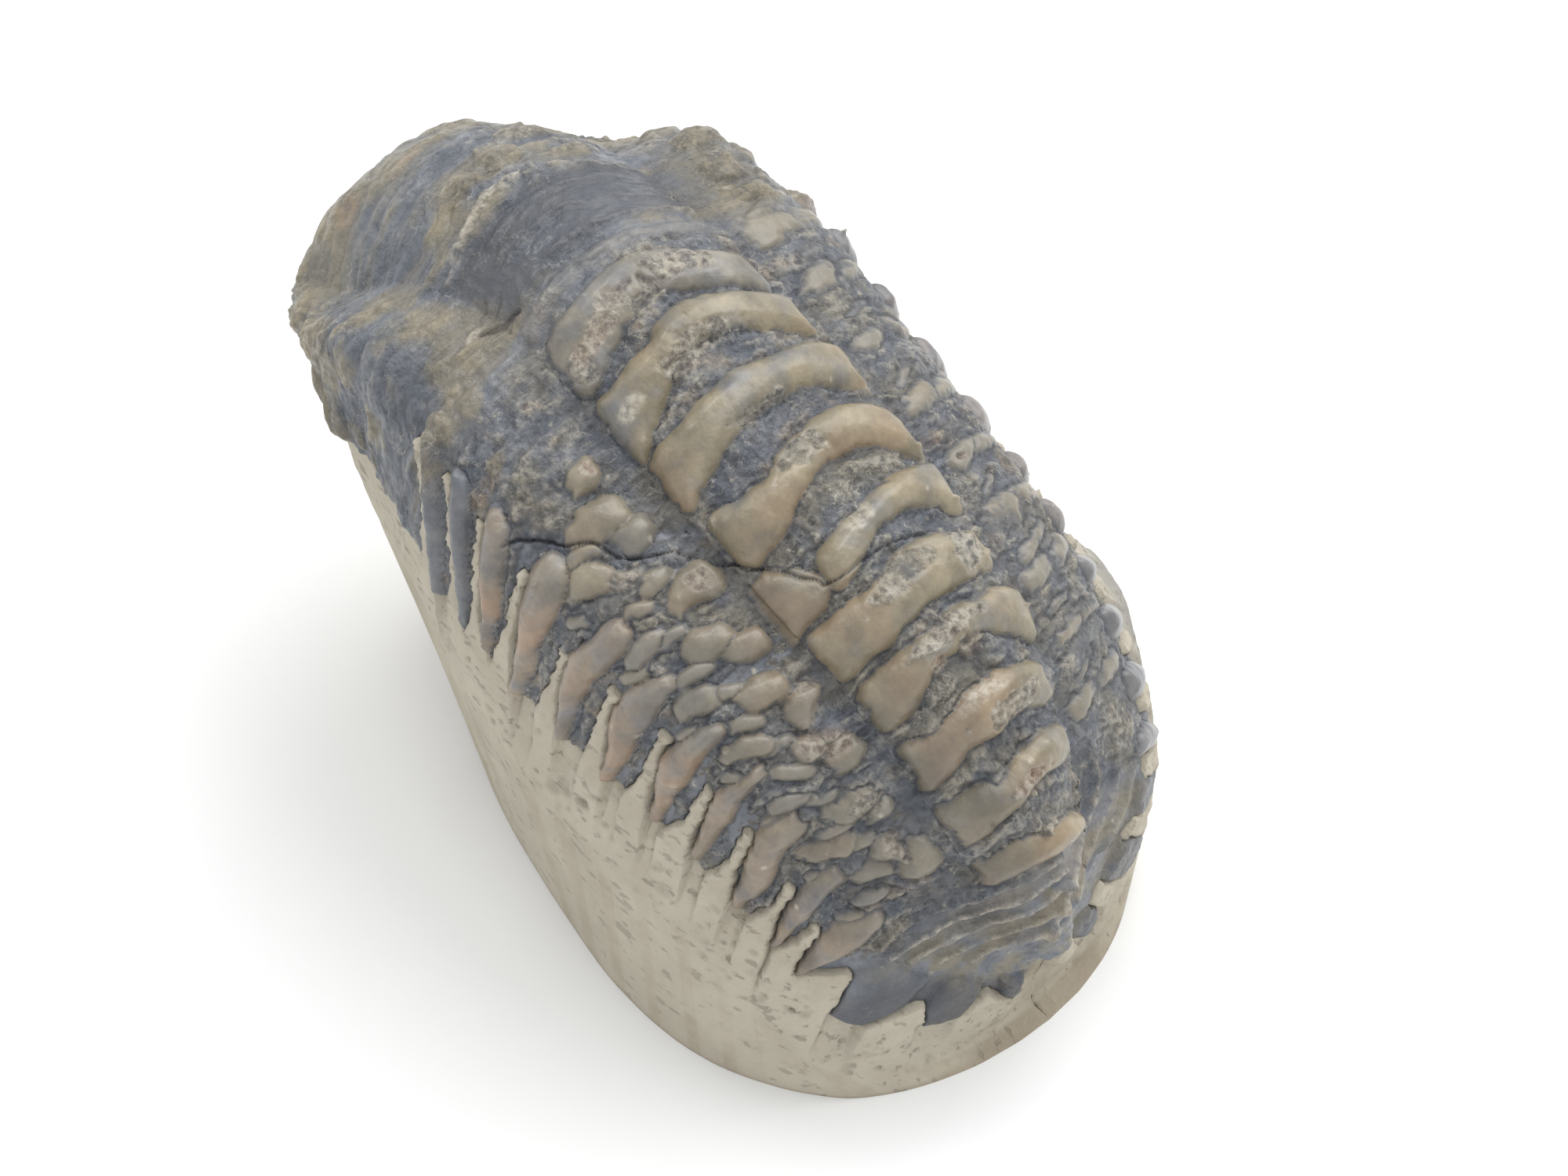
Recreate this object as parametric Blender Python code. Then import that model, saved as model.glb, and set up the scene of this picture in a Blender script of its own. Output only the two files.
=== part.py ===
# Fossil trilobite, arched over the limestone block it was found in.
#
# The animal lies along X, head toward -X and tail toward +X, its left side at -Y.
# Its surface is described by two numbers. "row" counts segments from head to tail: 1 to 11 are
# the thorax, below 1 is the head shield and above 11.5 the tail shield. "lane" runs sideways:
# 0 on the midline, 1 at the furrow beside the axis, 2 at the shoulder of the flank, 3 at the
# tips of the spines, negative on the animal's left.
# Lengths are in millimetres until a mesh is written, in metres.

import bpy
import bmesh
import numpy as np

MM = 0.001

# Frame: the foot of the block is at Z = 0 and the middle of the whole piece on the Z axis.
FOOT_DEPTH = 42.0
MIDDLE_X = 10.595
MIDDLE_Y = 0.89

# Slope of the back along the midline: arc length, degrees down toward the tail.
BACK_SLOPE = [
    (-36, -92), (-29, -74), (-21, -44), (-12, -18), (-5, -5.5), (2, 5), (10, 16.5),
    (20, 17.5), (30, 27.5), (40, 47.5), (50, 65), (60, 79), (70, 84),
]
CREST_DROP = 1.4
ARC_STEP = 0.1

# One line per key row: row, arc length, half width and fall of the axis.
AXIS_ROWS = [
    (-6, -33.8, 0.0, 0.0), (-5, -33.0, 6.4, 1.6), (-4, -24.4, 10.0, 3.7), (-3, -16.2, 9.9, 5.6),
    (-2, -10.2, 9.0, 4.2), (-1, -5.7, 8.2, 3.2), (0, -1.6, 7.8, 2.9), (1, 2.5, 7.7, 2.7),
    (2, 7.5, 7.7, 2.7), (4, 17.5, 7.7, 2.7), (6, 27.5, 7.2, 2.7), (8, 37.5, 6.4, 2.6),
    (10, 47.5, 5.0, 2.3), (11, 52.5, 4.2, 2.0), (12, 56.4, 3.5, 1.7), (13, 59.0, 2.7, 1.4),
    (14, 61.0, 1.6, 1.0), (15, 62.0, 0.0, 0.0),
]
# Flanks at the key rows: row, shoulder out and down, tip out and down, sweep toward the tail.
LEFT_ROWS = [
    (-6, 0.0, 0.8, 0.0, 1.5, 0), (-5, 8.4, 3.6, 7.8, 6.0, 0), (-4, 12.6, 5.2, 12.0, 9.6, 0),
    (-3, 14.8, 6.0, 14.0, 12.8, 0), (-2, 15.4, 5.8, 14.4, 15.0, 0), (-1, 15.8, 5.0, 14.9, 15.8, 0.6),
    (0, 16.1, 4.2, 15.8, 16.2, 1.5), (1, 16.3, 3.8, 16.4, 16.4, 2.5), (2, 16.6, 3.6, 17.0, 16.6, 3.4),
    (4, 16.9, 3.6, 17.4, 16.4, 1.8), (6, 16.2, 3.8, 17.2, 14.6, 2.2), (8, 14.6, 4.4, 16.6, 12.2, 3.4),
    (10, 12.2, 5.2, 15.4, 9.4, 4.6), (11, 10.6, 5.0, 14.6, 8.0, 4.6), (12, 8.6, 4.2, 13.4, 6.6, 4.6),
    (13, 5.6, 3.2, 9.2, 4.8, 5.0), (14, 2.6, 2.2, 3.6, 3.4, 4.9), (15, 0.0, 1.6, 0.0, 2.6, 4.2),
]
RIGHT_ROWS = [
    (-6, 0.0, 0.8, 0.0, 1.5, 0), (-5, 8.4, 3.8, 7.8, 6.0, 0), (-4, 12.2, 5.2, 11.8, 9.2, 0),
    (-3, 13.4, 6.4, 13.8, 12.2, 0), (-2, 14.8, 6.3, 15.2, 14.5, 0), (-1, 15.8, 4.8, 16.2, 15.0, 0.5),
    (0, 16.8, 4.0, 16.8, 15.2, 1.0), (1, 16.8, 3.8, 17.0, 15.2, 1.5), (2, 16.6, 3.8, 17.0, 15.0, 2.0),
    (4, 15.6, 4.4, 16.4, 14.4, 2.0), (6, 14.6, 4.4, 16.0, 12.6, 2.5), (8, 14.0, 4.4, 16.2, 10.4, 3.2),
    (10, 13.4, 4.4, 16.4, 8.4, 4.0), (11, 12.8, 4.2, 15.9, 7.2, 4.2), (12, 11.2, 3.8, 14.6, 6.2, 4.4),
    (13, 7.2, 3.1, 11.2, 4.6, 5.0), (14, 3.2, 2.3, 5.2, 3.4, 4.9), (15, 0.0, 1.6, 0.0, 2.6, 4.2),
]
SHOULDER_WEIGHT = 1.8
AXIS_POWER = 2.2
RING_ARCH = 1.5

# Relief of the fossil, in millimetres above or below the plain flank.
RING_HEIGHT = 1.15
RING_HALF = 0.31
HEAD_LOBE_HEIGHT = 0.6
TAIL_RIDGE_HEIGHT = 0.35
NODE_HEIGHT = 0.8
NODE_LANES = (1.22, 1.50, 1.78)
NODE_HALF_LANE = 0.13
NODE_HALF_ROW = 0.34
SPINE_HEIGHT = 1.1
EYE_HEIGHT = 1.3
FURROW_DEPTH = 0.5
NOTCH_LANES = 0.66
TAIL_NOTCH_LANES = 0.30

# Fossil and rock.
SHEET_THICK = 3.4
END_THICK = 1.1
EDGE_THICK = 1.1
FLOOR_GAP = 0.8
EDGE_GAP_LANE = 0.06
EDGE_GAP_ROW = 0.07
ROCK_BELOW = 0.45
CUTTER_LIFT = 1.8

# Foot of the block at the key rows: row, x, half width on the left and on the right.
FOOT_ROWS = [
    (-6, -9.0, 0.0, 0.0), (-5, -8.0, 4.5, 4.5), (-4, -5.5, 9.0, 9.0), (-3, -2.5, 11.6, 11.6),
    (-2, 0.0, 13.0, 13.0), (-1, 2.0, 13.8, 13.8), (0, 4.5, 14.8, 14.8), (1, 7.5, 15.8, 15.8),
    (2, 10.5, 16.6, 16.4), (4, 16.5, 18.0, 17.4), (6, 22.5, 19.0, 18.2), (8, 28.5, 18.8, 17.8),
    (10, 34.0, 17.0, 16.0), (11, 36.7, 15.4, 14.4), (12, 39.3, 13.0, 12.0), (13, 41.6, 9.0, 8.4),
    (14, 43.0, 4.4, 4.2), (15, 43.4, 0.0, 0.0),
]
# Ridge under the spine tips: row, outward and down from the tip, right side outward.
RIDGE_ROWS = [
    (-6, 0.0, 4.0, 0.0), (-4, 0.1, 4.0, 0.2), (-1, 0.2, 4.5, 0.4), (2, 0.9, 5.0, 1.0),
    (4, 1.7, 5.0, 2.0), (6, 2.0, 5.0, 4.6), (8, 2.0, 4.6, 5.0), (10, 2.0, 4.2, 2.6),
    (12, 1.8, 3.6, 0.8), (14, 1.2, 3.2, 0.6), (15, 0.0, 3.0, 0.0),
]

ROW_PHASES = (-0.5, -0.4, -0.29, -0.15, 0.0, 0.15, 0.29, 0.4)
ROCK_FIRST, FOSSIL_FIRST, LAST = -6, -5, 15
FOSSIL_TRIANGLES = 5500
LANES = 45
POCKET_PHASES = (-0.5, -0.36, -0.2, 0.2, 0.36)
POCKET_OVER = (-1.0, -0.75, -0.5, -0.33, -0.12, 0.12, 0.33, 0.5, 0.75, 1.0)
POCKET_UNDER = (1.0, 0.93, 0.8, 0.34, 0.12, -0.12, -0.34, -0.8, -0.93, -1.0)
POCKET_NOSE = 1.6
POCKET_LAST = 14.5
ROCK_ROW_STEP = 0.5
ROCK_LANES = (0.6, 1.4, 2.1, 2.6, 2.85, 3.05, 3.5, 4.0, 4.5, 5.0)


def clear_scene():
    for thing in list(bpy.data.objects):
        bpy.data.objects.remove(thing, do_unlink=True)


def smooth(x, table, column=1):
    """Cubic curve through one column of a table of key values."""
    xs = np.array([line[0] for line in table], float)
    ys = np.array([line[column] for line in table], float)
    slopes = np.gradient(ys, xs)
    i = np.clip(np.searchsorted(xs, x) - 1, 0, len(xs) - 2)
    step = xs[i + 1] - xs[i]
    t = np.clip((x - xs[i]) / step, 0, 1)
    start = (1 + 2 * t) * (1 - t) ** 2 * ys[i] + t * (1 - t) ** 2 * step * slopes[i]
    end = t * t * (3 - 2 * t) * ys[i + 1] + t * t * (t - 1) * step * slopes[i + 1]
    return start + end


def ramp(x, low, high):
    t = np.clip((x - low) / (high - low), 0, 1)
    return t * t * (3 - 2 * t)


def dome(x):
    """Rounded bump: 1 at 0, nothing at 1 and beyond."""
    return np.sqrt(np.clip(1 - x * x, 0, 1))


def trace_back():
    """Midline of the back: arc length, x, z and slope."""
    arc = np.arange(BACK_SLOPE[0][0] - 2, BACK_SLOPE[-1][0] + 2, ARC_STEP)
    slope = np.radians(smooth(arc, BACK_SLOPE))
    middle = (slope[1:] + slope[:-1]) / 2
    x = np.concatenate([[0], np.cumsum(np.cos(middle) * ARC_STEP)])
    z = np.concatenate([[0], -np.cumsum(np.sin(middle) * ARC_STEP)])
    x -= np.interp(0, arc, x) + CREST_DROP * np.sin(slope)
    z -= np.interp(0, arc, z) + CREST_DROP * np.cos(slope)
    return arc, x, z, slope


BACK = trace_back()


def plain_surface(row, lane):
    """Points of the smooth body without its relief."""
    w = np.abs(lane)
    arc, axis, fall = (smooth(row, AXIS_ROWS, i) for i in (1, 2, 3))
    flank = [np.where(lane > 0, smooth(row, RIGHT_ROWS, i), smooth(row, LEFT_ROWS, i)) for i in range(1, 6)]
    out, down, tip_out, tip_down, sweep = flank
    s = np.clip((w - 1) / 2, 0, 1.3)
    a, b, c = (1 - s) ** 2, 2 * s * (1 - s) * SHOULDER_WEIGHT, s * s
    side_y = (a * axis + b * out + c * tip_out) / (a + b + c)
    side_n = (a * fall + b * down + c * tip_down) / (a + b + c)
    near = np.clip(w, 0, 1)
    y = np.where(w < 1, axis * near, side_y)
    n = np.where(w < 1, fall * near ** AXIS_POWER, side_n)
    arch = RING_ARCH * np.clip((row + 5) / 3, 0, 1) * np.clip((15 - row) / 4, 0, 1)
    along = arc + sweep * s ** 1.5 - arch * (1 - near ** AXIS_POWER)
    x, z, slope = (np.interp(along, BACK[0], line) for line in BACK[1:])
    return np.stack([x - n * np.sin(slope), np.sign(lane) * y, z - n * np.cos(slope)], -1)


def outward(row, lane):
    """Unit normals of the smooth body; where the two sides meet, that of the midline."""
    e = 0.02
    along = plain_surface(row + e, lane) - plain_surface(row - e, lane)
    across = plain_surface(row, lane + e) - plain_surface(row, lane - e)
    n = np.cross(along, across)
    slope = np.interp(smooth(row, AXIS_ROWS, 1), BACK[0], BACK[3])
    seam = np.stack([np.sin(slope), np.zeros(len(row)), np.cos(slope)], -1)
    ends = (row <= ROCK_FIRST) | (row >= LAST)
    n = np.where(ends[:, None], seam, n)
    return n / np.maximum(np.linalg.norm(n, axis=-1, keepdims=True), 1e-9)


def body_point(row, lane, lift):
    return plain_surface(row, lane) + outward(row, lane) * lift[..., None]


def phase(row):
    """Distance from the middle of the nearest segment, in segments."""
    return row - np.floor(row + 0.5)


def notch(row, spread=0.0):
    """How far, in lanes, the edge draws back between two spines."""
    p = np.clip(np.abs(phase(row)) - spread, 0, 0.5)
    thorax = ramp(row, 0.2, 0.7) * ramp(row, 11.8, 11.3)
    tail = ramp(row, 11.3, 11.8) * ramp(row, 14.9, 14.4)
    return ramp(p, 0.24, 0.46) * (NOTCH_LANES * thorax + TAIL_NOTCH_LANES * tail)


def relief(row, lane):
    """Height of rings, lobes, nodes, spines and furrows over the smooth body."""
    w = np.abs(lane)
    p = phase(row)
    thorax = ramp(row, 0.3, 0.7) * ramp(row, 11.7, 11.3)
    head = ramp(row, 0.7, 0.3) * ramp(row, -3.8, -3.2)
    tail = ramp(row, 11.3, 11.7)
    on_axis = ramp(w, 1.02, 0.90)
    rings = dome(p / RING_HALF) * RING_HEIGHT * thorax
    lobes = dome(p / 0.46) * HEAD_LOBE_HEIGHT * head
    ridges = np.cos(row * 4 * np.pi) * TAIL_RIDGE_HEIGHT * tail * ramp(row, 14.8, 13.5)
    height = (rings + lobes + ridges) * on_axis
    furrow = np.exp(-((w - 1.05) / 0.07) ** 2) * FURROW_DEPTH * ramp(row, -4.6, -3.6)
    height -= furrow
    for middle in NODE_LANES:
        bump = dome(np.hypot((w - middle) / NODE_HALF_LANE, p / NODE_HALF_ROW))
        height += bump * NODE_HEIGHT * thorax
    narrowing = 0.38 - 0.10 * ramp(w, 2.2, 3.0)
    spine = dome(p / narrowing) * ramp(w, 1.86, 2.1) * ramp(w, 3.15, 2.8)
    height += spine * SPINE_HEIGHT * np.maximum(thorax, 0.5 * tail)
    eye = np.exp(-((w - 1.75) / 0.42) ** 2 - ((row + 1.3) / 1.5) ** 2)
    return (height + eye * EYE_HEIGHT) * ramp(row, 14.9, 14.2)


def closed_grid(name, columns, rows, place):
    """A grid whose points go where place says; edges that meet are closed up."""
    bm = bmesh.new()
    across, along = len(columns) - 1, len(rows) - 1
    bmesh.ops.create_grid(bm, x_segments=across, y_segments=along, size=1)
    co = np.array([v.co[:2] for v in bm.verts])
    i = np.rint((co[:, 0] + 1) / 2 * across).astype(int)
    j = np.rint((co[:, 1] + 1) / 2 * along).astype(int)
    points = place(np.array(columns)[i], np.array(rows)[j])
    points = (points - np.array([MIDDLE_X, MIDDLE_Y, -FOOT_DEPTH])) * MM
    for v, point in zip(bm.verts, points):
        v.co = point
    bmesh.ops.remove_doubles(bm, verts=bm.verts, dist=2e-6)
    bmesh.ops.holes_fill(bm, edges=[e for e in bm.edges if e.is_boundary])
    bmesh.ops.recalc_face_normals(bm, faces=bm.faces)
    bmesh.ops.triangulate(bm, faces=bm.faces)
    mesh = bpy.data.meshes.new(name)
    bm.to_mesh(mesh)
    bm.free()
    return bpy.data.objects.new(name, mesh)


def segment_rows(first, last, phases):
    rows = [k + p for k in range(first, int(last) + 2) for p in phases]
    return [first] + [r for r in rows if first < r < last] + [last]


def girth(lanes):
    """Once round the body: 0 to 1 over the back, 1 to 2 underneath."""
    return list(np.linspace(0, 2, 2 * lanes + 1))


def thickness(row, share):
    """How deep the fossil goes: thin at its edges and at both ends."""
    full = END_THICK + (SHEET_THICK - END_THICK) * ramp(row, 14.5, 11.5) * ramp(row, -3.5, -0.5)
    inside = ramp(np.abs(share), 1.0, 0.75)
    ends = ramp(row, -5.0, -4.3) * ramp(row, 15.3, 13.2)
    return (EDGE_THICK + (full - EDGE_THICK) * inside) * ends


def fossil_point(column, row):
    over = column <= 1
    share = np.where(over, 2 * column - 1, 3 - 2 * column)
    lane = share * (3 - notch(row))
    thick = thickness(row, share)
    lift = np.where(over, relief(row, lane) * ramp(row, -5.0, -4.6), -thick)
    edge = (np.abs(share) > 0.9999)
    lift = np.where(edge, -0.25 * thick, lift)
    return body_point(row, lane, lift)


def pocket_point(column, row):
    """The fossil's seat; its first row is a blunt nose ahead of the head's margin."""
    nose = row < FOSSIL_FIRST
    row = np.maximum(row, FOSSIL_FIRST)
    loop = POCKET_OVER + POCKET_UNDER + POCKET_OVER[:1]
    share = np.array(loop)[column]
    over = (column < len(POCKET_OVER)) | (column == len(loop) - 1)
    lane = share * (3 - notch(row, EDGE_GAP_ROW) + EDGE_GAP_LANE)
    below = thickness(row, share) + FLOOR_GAP * (0.3 + 0.7 * ramp(row, 15.0, 13.2))
    lift = np.where(over, CUTTER_LIFT, -below)
    points = body_point(row, lane, lift)
    ahead = plain_surface(row, lane) - plain_surface(row + 0.1, lane)
    ahead /= np.maximum(np.linalg.norm(ahead, axis=-1, keepdims=True), 1e-9)
    return points + ahead * (POCKET_NOSE * nose)[:, None]


def rock_point(lane, row):
    """Skin of the block: under the fossil, over the ridge and down to the foot."""
    w = np.abs(lane)
    side = np.sign(lane)
    top = body_point(row, np.clip(lane, -3, 3), np.full(len(row), -ROCK_BELOW))
    out = np.where(lane > 0, smooth(row, RIDGE_ROWS, 3), smooth(row, RIDGE_ROWS, 1))
    ridge = top + np.stack([0.4 * out * ramp(row, 9, 14), side * out, -smooth(row, RIDGE_ROWS, 2)], -1)
    half = np.where(lane > 0, smooth(row, FOOT_ROWS, 3), smooth(row, FOOT_ROWS, 2))
    foot = np.stack([smooth(row, FOOT_ROWS, 1), side * half, np.full(len(row), -FOOT_DEPTH)], -1)
    t = np.clip(w - 3, 0, 1)[:, None]
    band = top + (ridge - top) * t
    t = np.clip(w - 4, 0, 1)[:, None]
    wall = ridge + (foot - ridge) * t
    return np.where((w <= 4)[:, None], band, wall)


def material(name, colour, roughness):
    made = bpy.data.materials.new(name)
    made.use_nodes = True
    shader = made.node_tree.nodes["Principled BSDF"]
    shader.inputs["Base Color"].default_value = (*colour, 1)
    shader.inputs["Roughness"].default_value = roughness
    shader.inputs["Metallic"].default_value = 0.0
    return made


def make_fossil(parts):
    fossil = closed_grid("trilobite", girth(LANES),
                         segment_rows(FOSSIL_FIRST, LAST, ROW_PHASES), fossil_point)
    parts.objects.link(fossil)
    thinning = fossil.modifiers.new("fewer faces", "DECIMATE")
    thinning.ratio = min(1.0, FOSSIL_TRIANGLES / len(fossil.data.polygons))
    fossil.data.materials.append(material("fossil shell", (0.18, 0.15, 0.11), 0.35))
    fossil.data.shade_smooth()
    return fossil


def make_rock(parts, cutters):
    lanes = [-w for w in reversed(ROCK_LANES)] + list(ROCK_LANES)
    rows = list(np.arange(ROCK_FIRST, LAST + 0.01, ROCK_ROW_STEP))
    rock = closed_grid("matrix", lanes, rows, rock_point)
    parts.objects.link(rock)
    columns = range(len(POCKET_OVER) + len(POCKET_UNDER) + 1)
    pocket_rows = [FOSSIL_FIRST - 1] + segment_rows(FOSSIL_FIRST, POCKET_LAST, POCKET_PHASES)
    pocket = closed_grid("pocket", columns, pocket_rows, pocket_point)
    cutters.objects.link(pocket)
    pocket.hide_render = True
    pocket.display_type = "WIRE"
    cut = rock.modifiers.new("seat of the fossil", "BOOLEAN")
    cut.operation = "DIFFERENCE"
    cut.use_self = True
    cut.object = pocket
    rock.data.materials.append(material("limestone", (0.50, 0.44, 0.35), 0.8))
    return rock


def main():
    clear_scene()
    parts = bpy.data.collections.new("fossil trilobite")
    cutters = bpy.data.collections.new("cutters")
    for group in (parts, cutters):
        bpy.context.scene.collection.children.link(group)
    make_fossil(parts)
    make_rock(parts, cutters)


main()
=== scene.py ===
# Looks of a fossil trilobite arched over its limestone block.
#
# The animal lies along X, head toward -X, its left side at -Y. "row" counts segments from head to
# tail, 1 to 11 in the thorax, less in the head shield and more in the tail shield. "lane" runs
# sideways: 0 on the midline, 1 at the furrow beside the axis, 2 at the shoulder of the flank, 3 at
# the tips of the spines, negative on the left. Lengths are in millimetres until a mesh is written.

import bmesh
import bpy
import numpy as np
from mathutils import Matrix, Vector


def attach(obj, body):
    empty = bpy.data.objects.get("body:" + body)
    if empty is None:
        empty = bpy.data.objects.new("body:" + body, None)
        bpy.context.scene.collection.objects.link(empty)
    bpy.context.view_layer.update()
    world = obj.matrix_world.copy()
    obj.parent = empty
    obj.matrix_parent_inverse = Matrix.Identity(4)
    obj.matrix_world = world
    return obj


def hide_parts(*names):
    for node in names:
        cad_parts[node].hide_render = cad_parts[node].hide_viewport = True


MM = 0.001
SHIFT = np.array([10.595, 0.89, -42.0])
FOOT_DEPTH = 42.0

# Camera: degrees round and above, distance and sideways and upward offsets in millimetres.
CAMERA_AZIMUTH = 47.0
CAMERA_ELEVATION = 50.0
CAMERA_BACK = 192.5
CAMERA_RIGHT = 12.27
CAMERA_UP = -23.23
CAMERA_LENS = 72.0

# Slope of the back along the midline: arc length, degrees down toward the tail.
BACK_SLOPE = [
    (-36, -92), (-29, -74), (-21, -44), (-12, -18), (-5, -5.5), (2, 5), (10, 16.5),
    (20, 17.5), (30, 27.5), (40, 47.5), (50, 65), (60, 79), (70, 84),
]
CREST_DROP = 1.4
ARC_STEP = 0.1

# One line per key row: row, arc length, half width and fall of the axis.
AXIS_ROWS = [
    (-6, -33.8, 0.0, 0.0), (-5, -33.0, 6.4, 1.6), (-4, -24.4, 10.0, 3.7), (-3, -16.2, 9.9, 5.6),
    (-2, -10.2, 9.0, 4.2), (-1, -5.7, 8.2, 3.2), (0, -1.6, 7.8, 2.9), (1, 2.5, 7.7, 2.7),
    (2, 7.5, 7.7, 2.7), (4, 17.5, 7.7, 2.7), (6, 27.5, 7.2, 2.7), (8, 37.5, 6.4, 2.6),
    (10, 47.5, 5.0, 2.3), (11, 52.5, 4.2, 2.0), (12, 56.4, 3.5, 1.7), (13, 59.0, 2.7, 1.4),
    (14, 61.0, 1.6, 1.0), (15, 62.0, 0.0, 0.0),
]
# Flanks at the key rows: row, shoulder out and down, tip out and down, sweep toward the tail.
LEFT_ROWS = [
    (-6, 0.0, 0.8, 0.0, 1.5, 0), (-5, 8.4, 3.6, 7.8, 6.0, 0), (-4, 12.6, 5.2, 12.0, 9.6, 0),
    (-3, 14.8, 6.0, 14.0, 12.8, 0), (-2, 15.4, 5.8, 14.4, 15.0, 0), (-1, 15.8, 5.0, 14.9, 15.8, 0.6),
    (0, 16.1, 4.2, 15.8, 16.2, 1.5), (1, 16.3, 3.8, 16.4, 16.4, 2.5), (2, 16.6, 3.6, 17.0, 16.6, 3.4),
    (4, 16.9, 3.6, 17.4, 16.4, 1.8), (6, 16.2, 3.8, 17.2, 14.6, 2.2), (8, 14.6, 4.4, 16.6, 12.2, 3.4),
    (10, 12.2, 5.2, 15.4, 9.4, 4.6), (11, 10.6, 5.0, 14.6, 8.0, 4.6), (12, 8.6, 4.2, 13.4, 6.6, 4.6),
    (13, 5.6, 3.2, 9.2, 4.8, 5.0), (14, 2.6, 2.2, 3.6, 3.4, 4.9), (15, 0.0, 1.6, 0.0, 2.6, 4.2),
]
RIGHT_ROWS = [
    (-6, 0.0, 0.8, 0.0, 1.5, 0), (-5, 8.4, 3.8, 7.8, 6.0, 0), (-4, 12.2, 5.2, 11.8, 9.2, 0),
    (-3, 13.4, 6.4, 13.8, 12.2, 0), (-2, 14.8, 6.3, 15.2, 14.5, 0), (-1, 15.8, 4.8, 16.2, 15.0, 0.5),
    (0, 16.8, 4.0, 16.8, 15.2, 1.0), (1, 16.8, 3.8, 17.0, 15.2, 1.5), (2, 16.6, 3.8, 17.0, 15.0, 2.0),
    (4, 15.6, 4.4, 16.4, 14.4, 2.0), (6, 14.6, 4.4, 16.0, 12.6, 2.5), (8, 14.0, 4.4, 16.2, 10.4, 3.2),
    (10, 13.4, 4.4, 16.4, 8.4, 4.0), (11, 12.8, 4.2, 15.9, 7.2, 4.2), (12, 11.2, 3.8, 14.6, 6.2, 4.4),
    (13, 7.2, 3.1, 11.2, 4.6, 5.0), (14, 3.2, 2.3, 5.2, 3.4, 4.9), (15, 0.0, 1.6, 0.0, 2.6, 4.2),
]
SHOULDER_WEIGHT = 1.8
AXIS_POWER = 2.2
RING_ARCH = 1.5

# Foot of the block at the key rows: row, x, half width on the left and on the right.
FOOT_ROWS = [
    (-6, -9.0, 0.0, 0.0), (-5, -8.0, 4.5, 4.5), (-4, -5.5, 9.0, 9.0), (-3, -2.5, 11.6, 11.6),
    (-2, 0.0, 13.0, 13.0), (-1, 2.0, 13.8, 13.8), (0, 4.5, 14.8, 14.8), (1, 7.5, 15.8, 15.8),
    (2, 10.5, 16.6, 16.4), (4, 16.5, 18.0, 17.4), (6, 22.5, 19.0, 18.2), (8, 28.5, 18.8, 17.8),
    (10, 34.0, 17.0, 16.0), (11, 36.7, 15.4, 14.4), (12, 39.3, 13.0, 12.0), (13, 41.6, 9.0, 8.4),
    (14, 43.0, 4.4, 4.2), (15, 43.4, 0.0, 0.0),
]
# Ridge under the spine tips: row, outward and down from the tip, right side outward.
RIDGE_ROWS = [
    (-6, 0.0, 4.0, 0.0), (-4, 0.1, 4.0, 0.2), (-1, 0.2, 4.5, 0.4), (2, 0.9, 5.0, 1.0),
    (4, 1.7, 5.0, 2.0), (6, 2.0, 5.0, 4.6), (8, 2.0, 4.6, 5.0), (10, 2.0, 4.2, 2.6),
    (12, 1.8, 3.6, 0.8), (14, 1.2, 3.2, 0.6), (15, 0.0, 3.0, 0.0),
]

# Middle lines of the rings of the axis: lane, then the row of rings 1 to 11 at that lane.
RING_COURSES = [
    (-1.0, 1.33, 2.13, 3.16, 4.07, 4.98, 6.0, 6.93, 7.96, 8.92, 9.93, 10.72),
    (-0.6, 1.28, 1.98, 3.02, 4.06, 5.2, 6.28, 7.07, 7.9, 8.97, 9.99, 10.88),
    (-0.2, 1.23, 1.95, 2.85, 3.95, 5.09, 6.2, 7.08, 7.87, 8.92, 9.99, 10.94),
    (0.2, 1.37, 2.05, 2.88, 3.97, 5.01, 6.05, 7.06, 7.86, 8.87, 9.86, 11.0),
    (0.6, 1.47, 2.28, 3.07, 4.01, 5.05, 6.03, 7.05, 7.9, 8.95, 9.89, 11.08),
    (0.95, 1.47, 2.45, 3.3, 4.15, 5.3, 6.12, 7.05, 8.08, 9.05, 9.95, 11.1),
]
# Each ring: left and right end as lanes, half width in rows at the left, middle and right, height.
RINGS = [
    (-1.0, 0.95, 0.16, 0.14, 0.16, 0.35), (-0.98, 0.92, 0.36, 0.32, 0.32, 0.85),
    (-0.99, 0.92, 0.35, 0.28, 0.3, 1.15), (-0.99, 0.95, 0.32, 0.28, 0.36, 1.15),
    (-0.97, 0.92, 0.3, 0.26, 0.38, 1.15), (-0.62, 0.96, 0.22, 0.24, 0.38, 1.1),
    (-0.99, 0.88, 0.33, 0.28, 0.26, 1.1), (-0.99, 0.96, 0.3, 0.26, 0.38, 1.1),
    (-1.0, 0.85, 0.3, 0.27, 0.25, 1.1), (-0.98, 0.85, 0.29, 0.26, 0.24, 1.05),
    (-0.98, 0.9, 0.25, 0.22, 0.2, 0.9),
]
# Rock fingers between the left spines: row at lanes 1.9, 2.35 and 3, and the lane of the top.
LEFT_FINGERS = [
    (0.7, 1.05, 1.5, 2.12), (1.4, 1.75, 2.3, 2.17), (2.3, 2.45, 2.85, 2.2),
    (3.35, 3.35, 3.42, 2.17), (4.4, 4.36, 4.45, 2.42), (5.4, 5.26, 5.52, 2.33),
    (6.28, 6.2, 6.62, 2.28), (7.2, 7.25, 7.82, 2.36), (8.15, 8.2, 8.86, 2.36),
    (9.15, 9.25, 9.8, 2.41), (10.15, 10.1, 10.42, 2.5), (11.3, 11.22, 11.15, 2.6),
    (12.5, 12.65, 12.72, 2.64), (13.45, 13.6, 13.85, 2.42),
]


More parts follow.
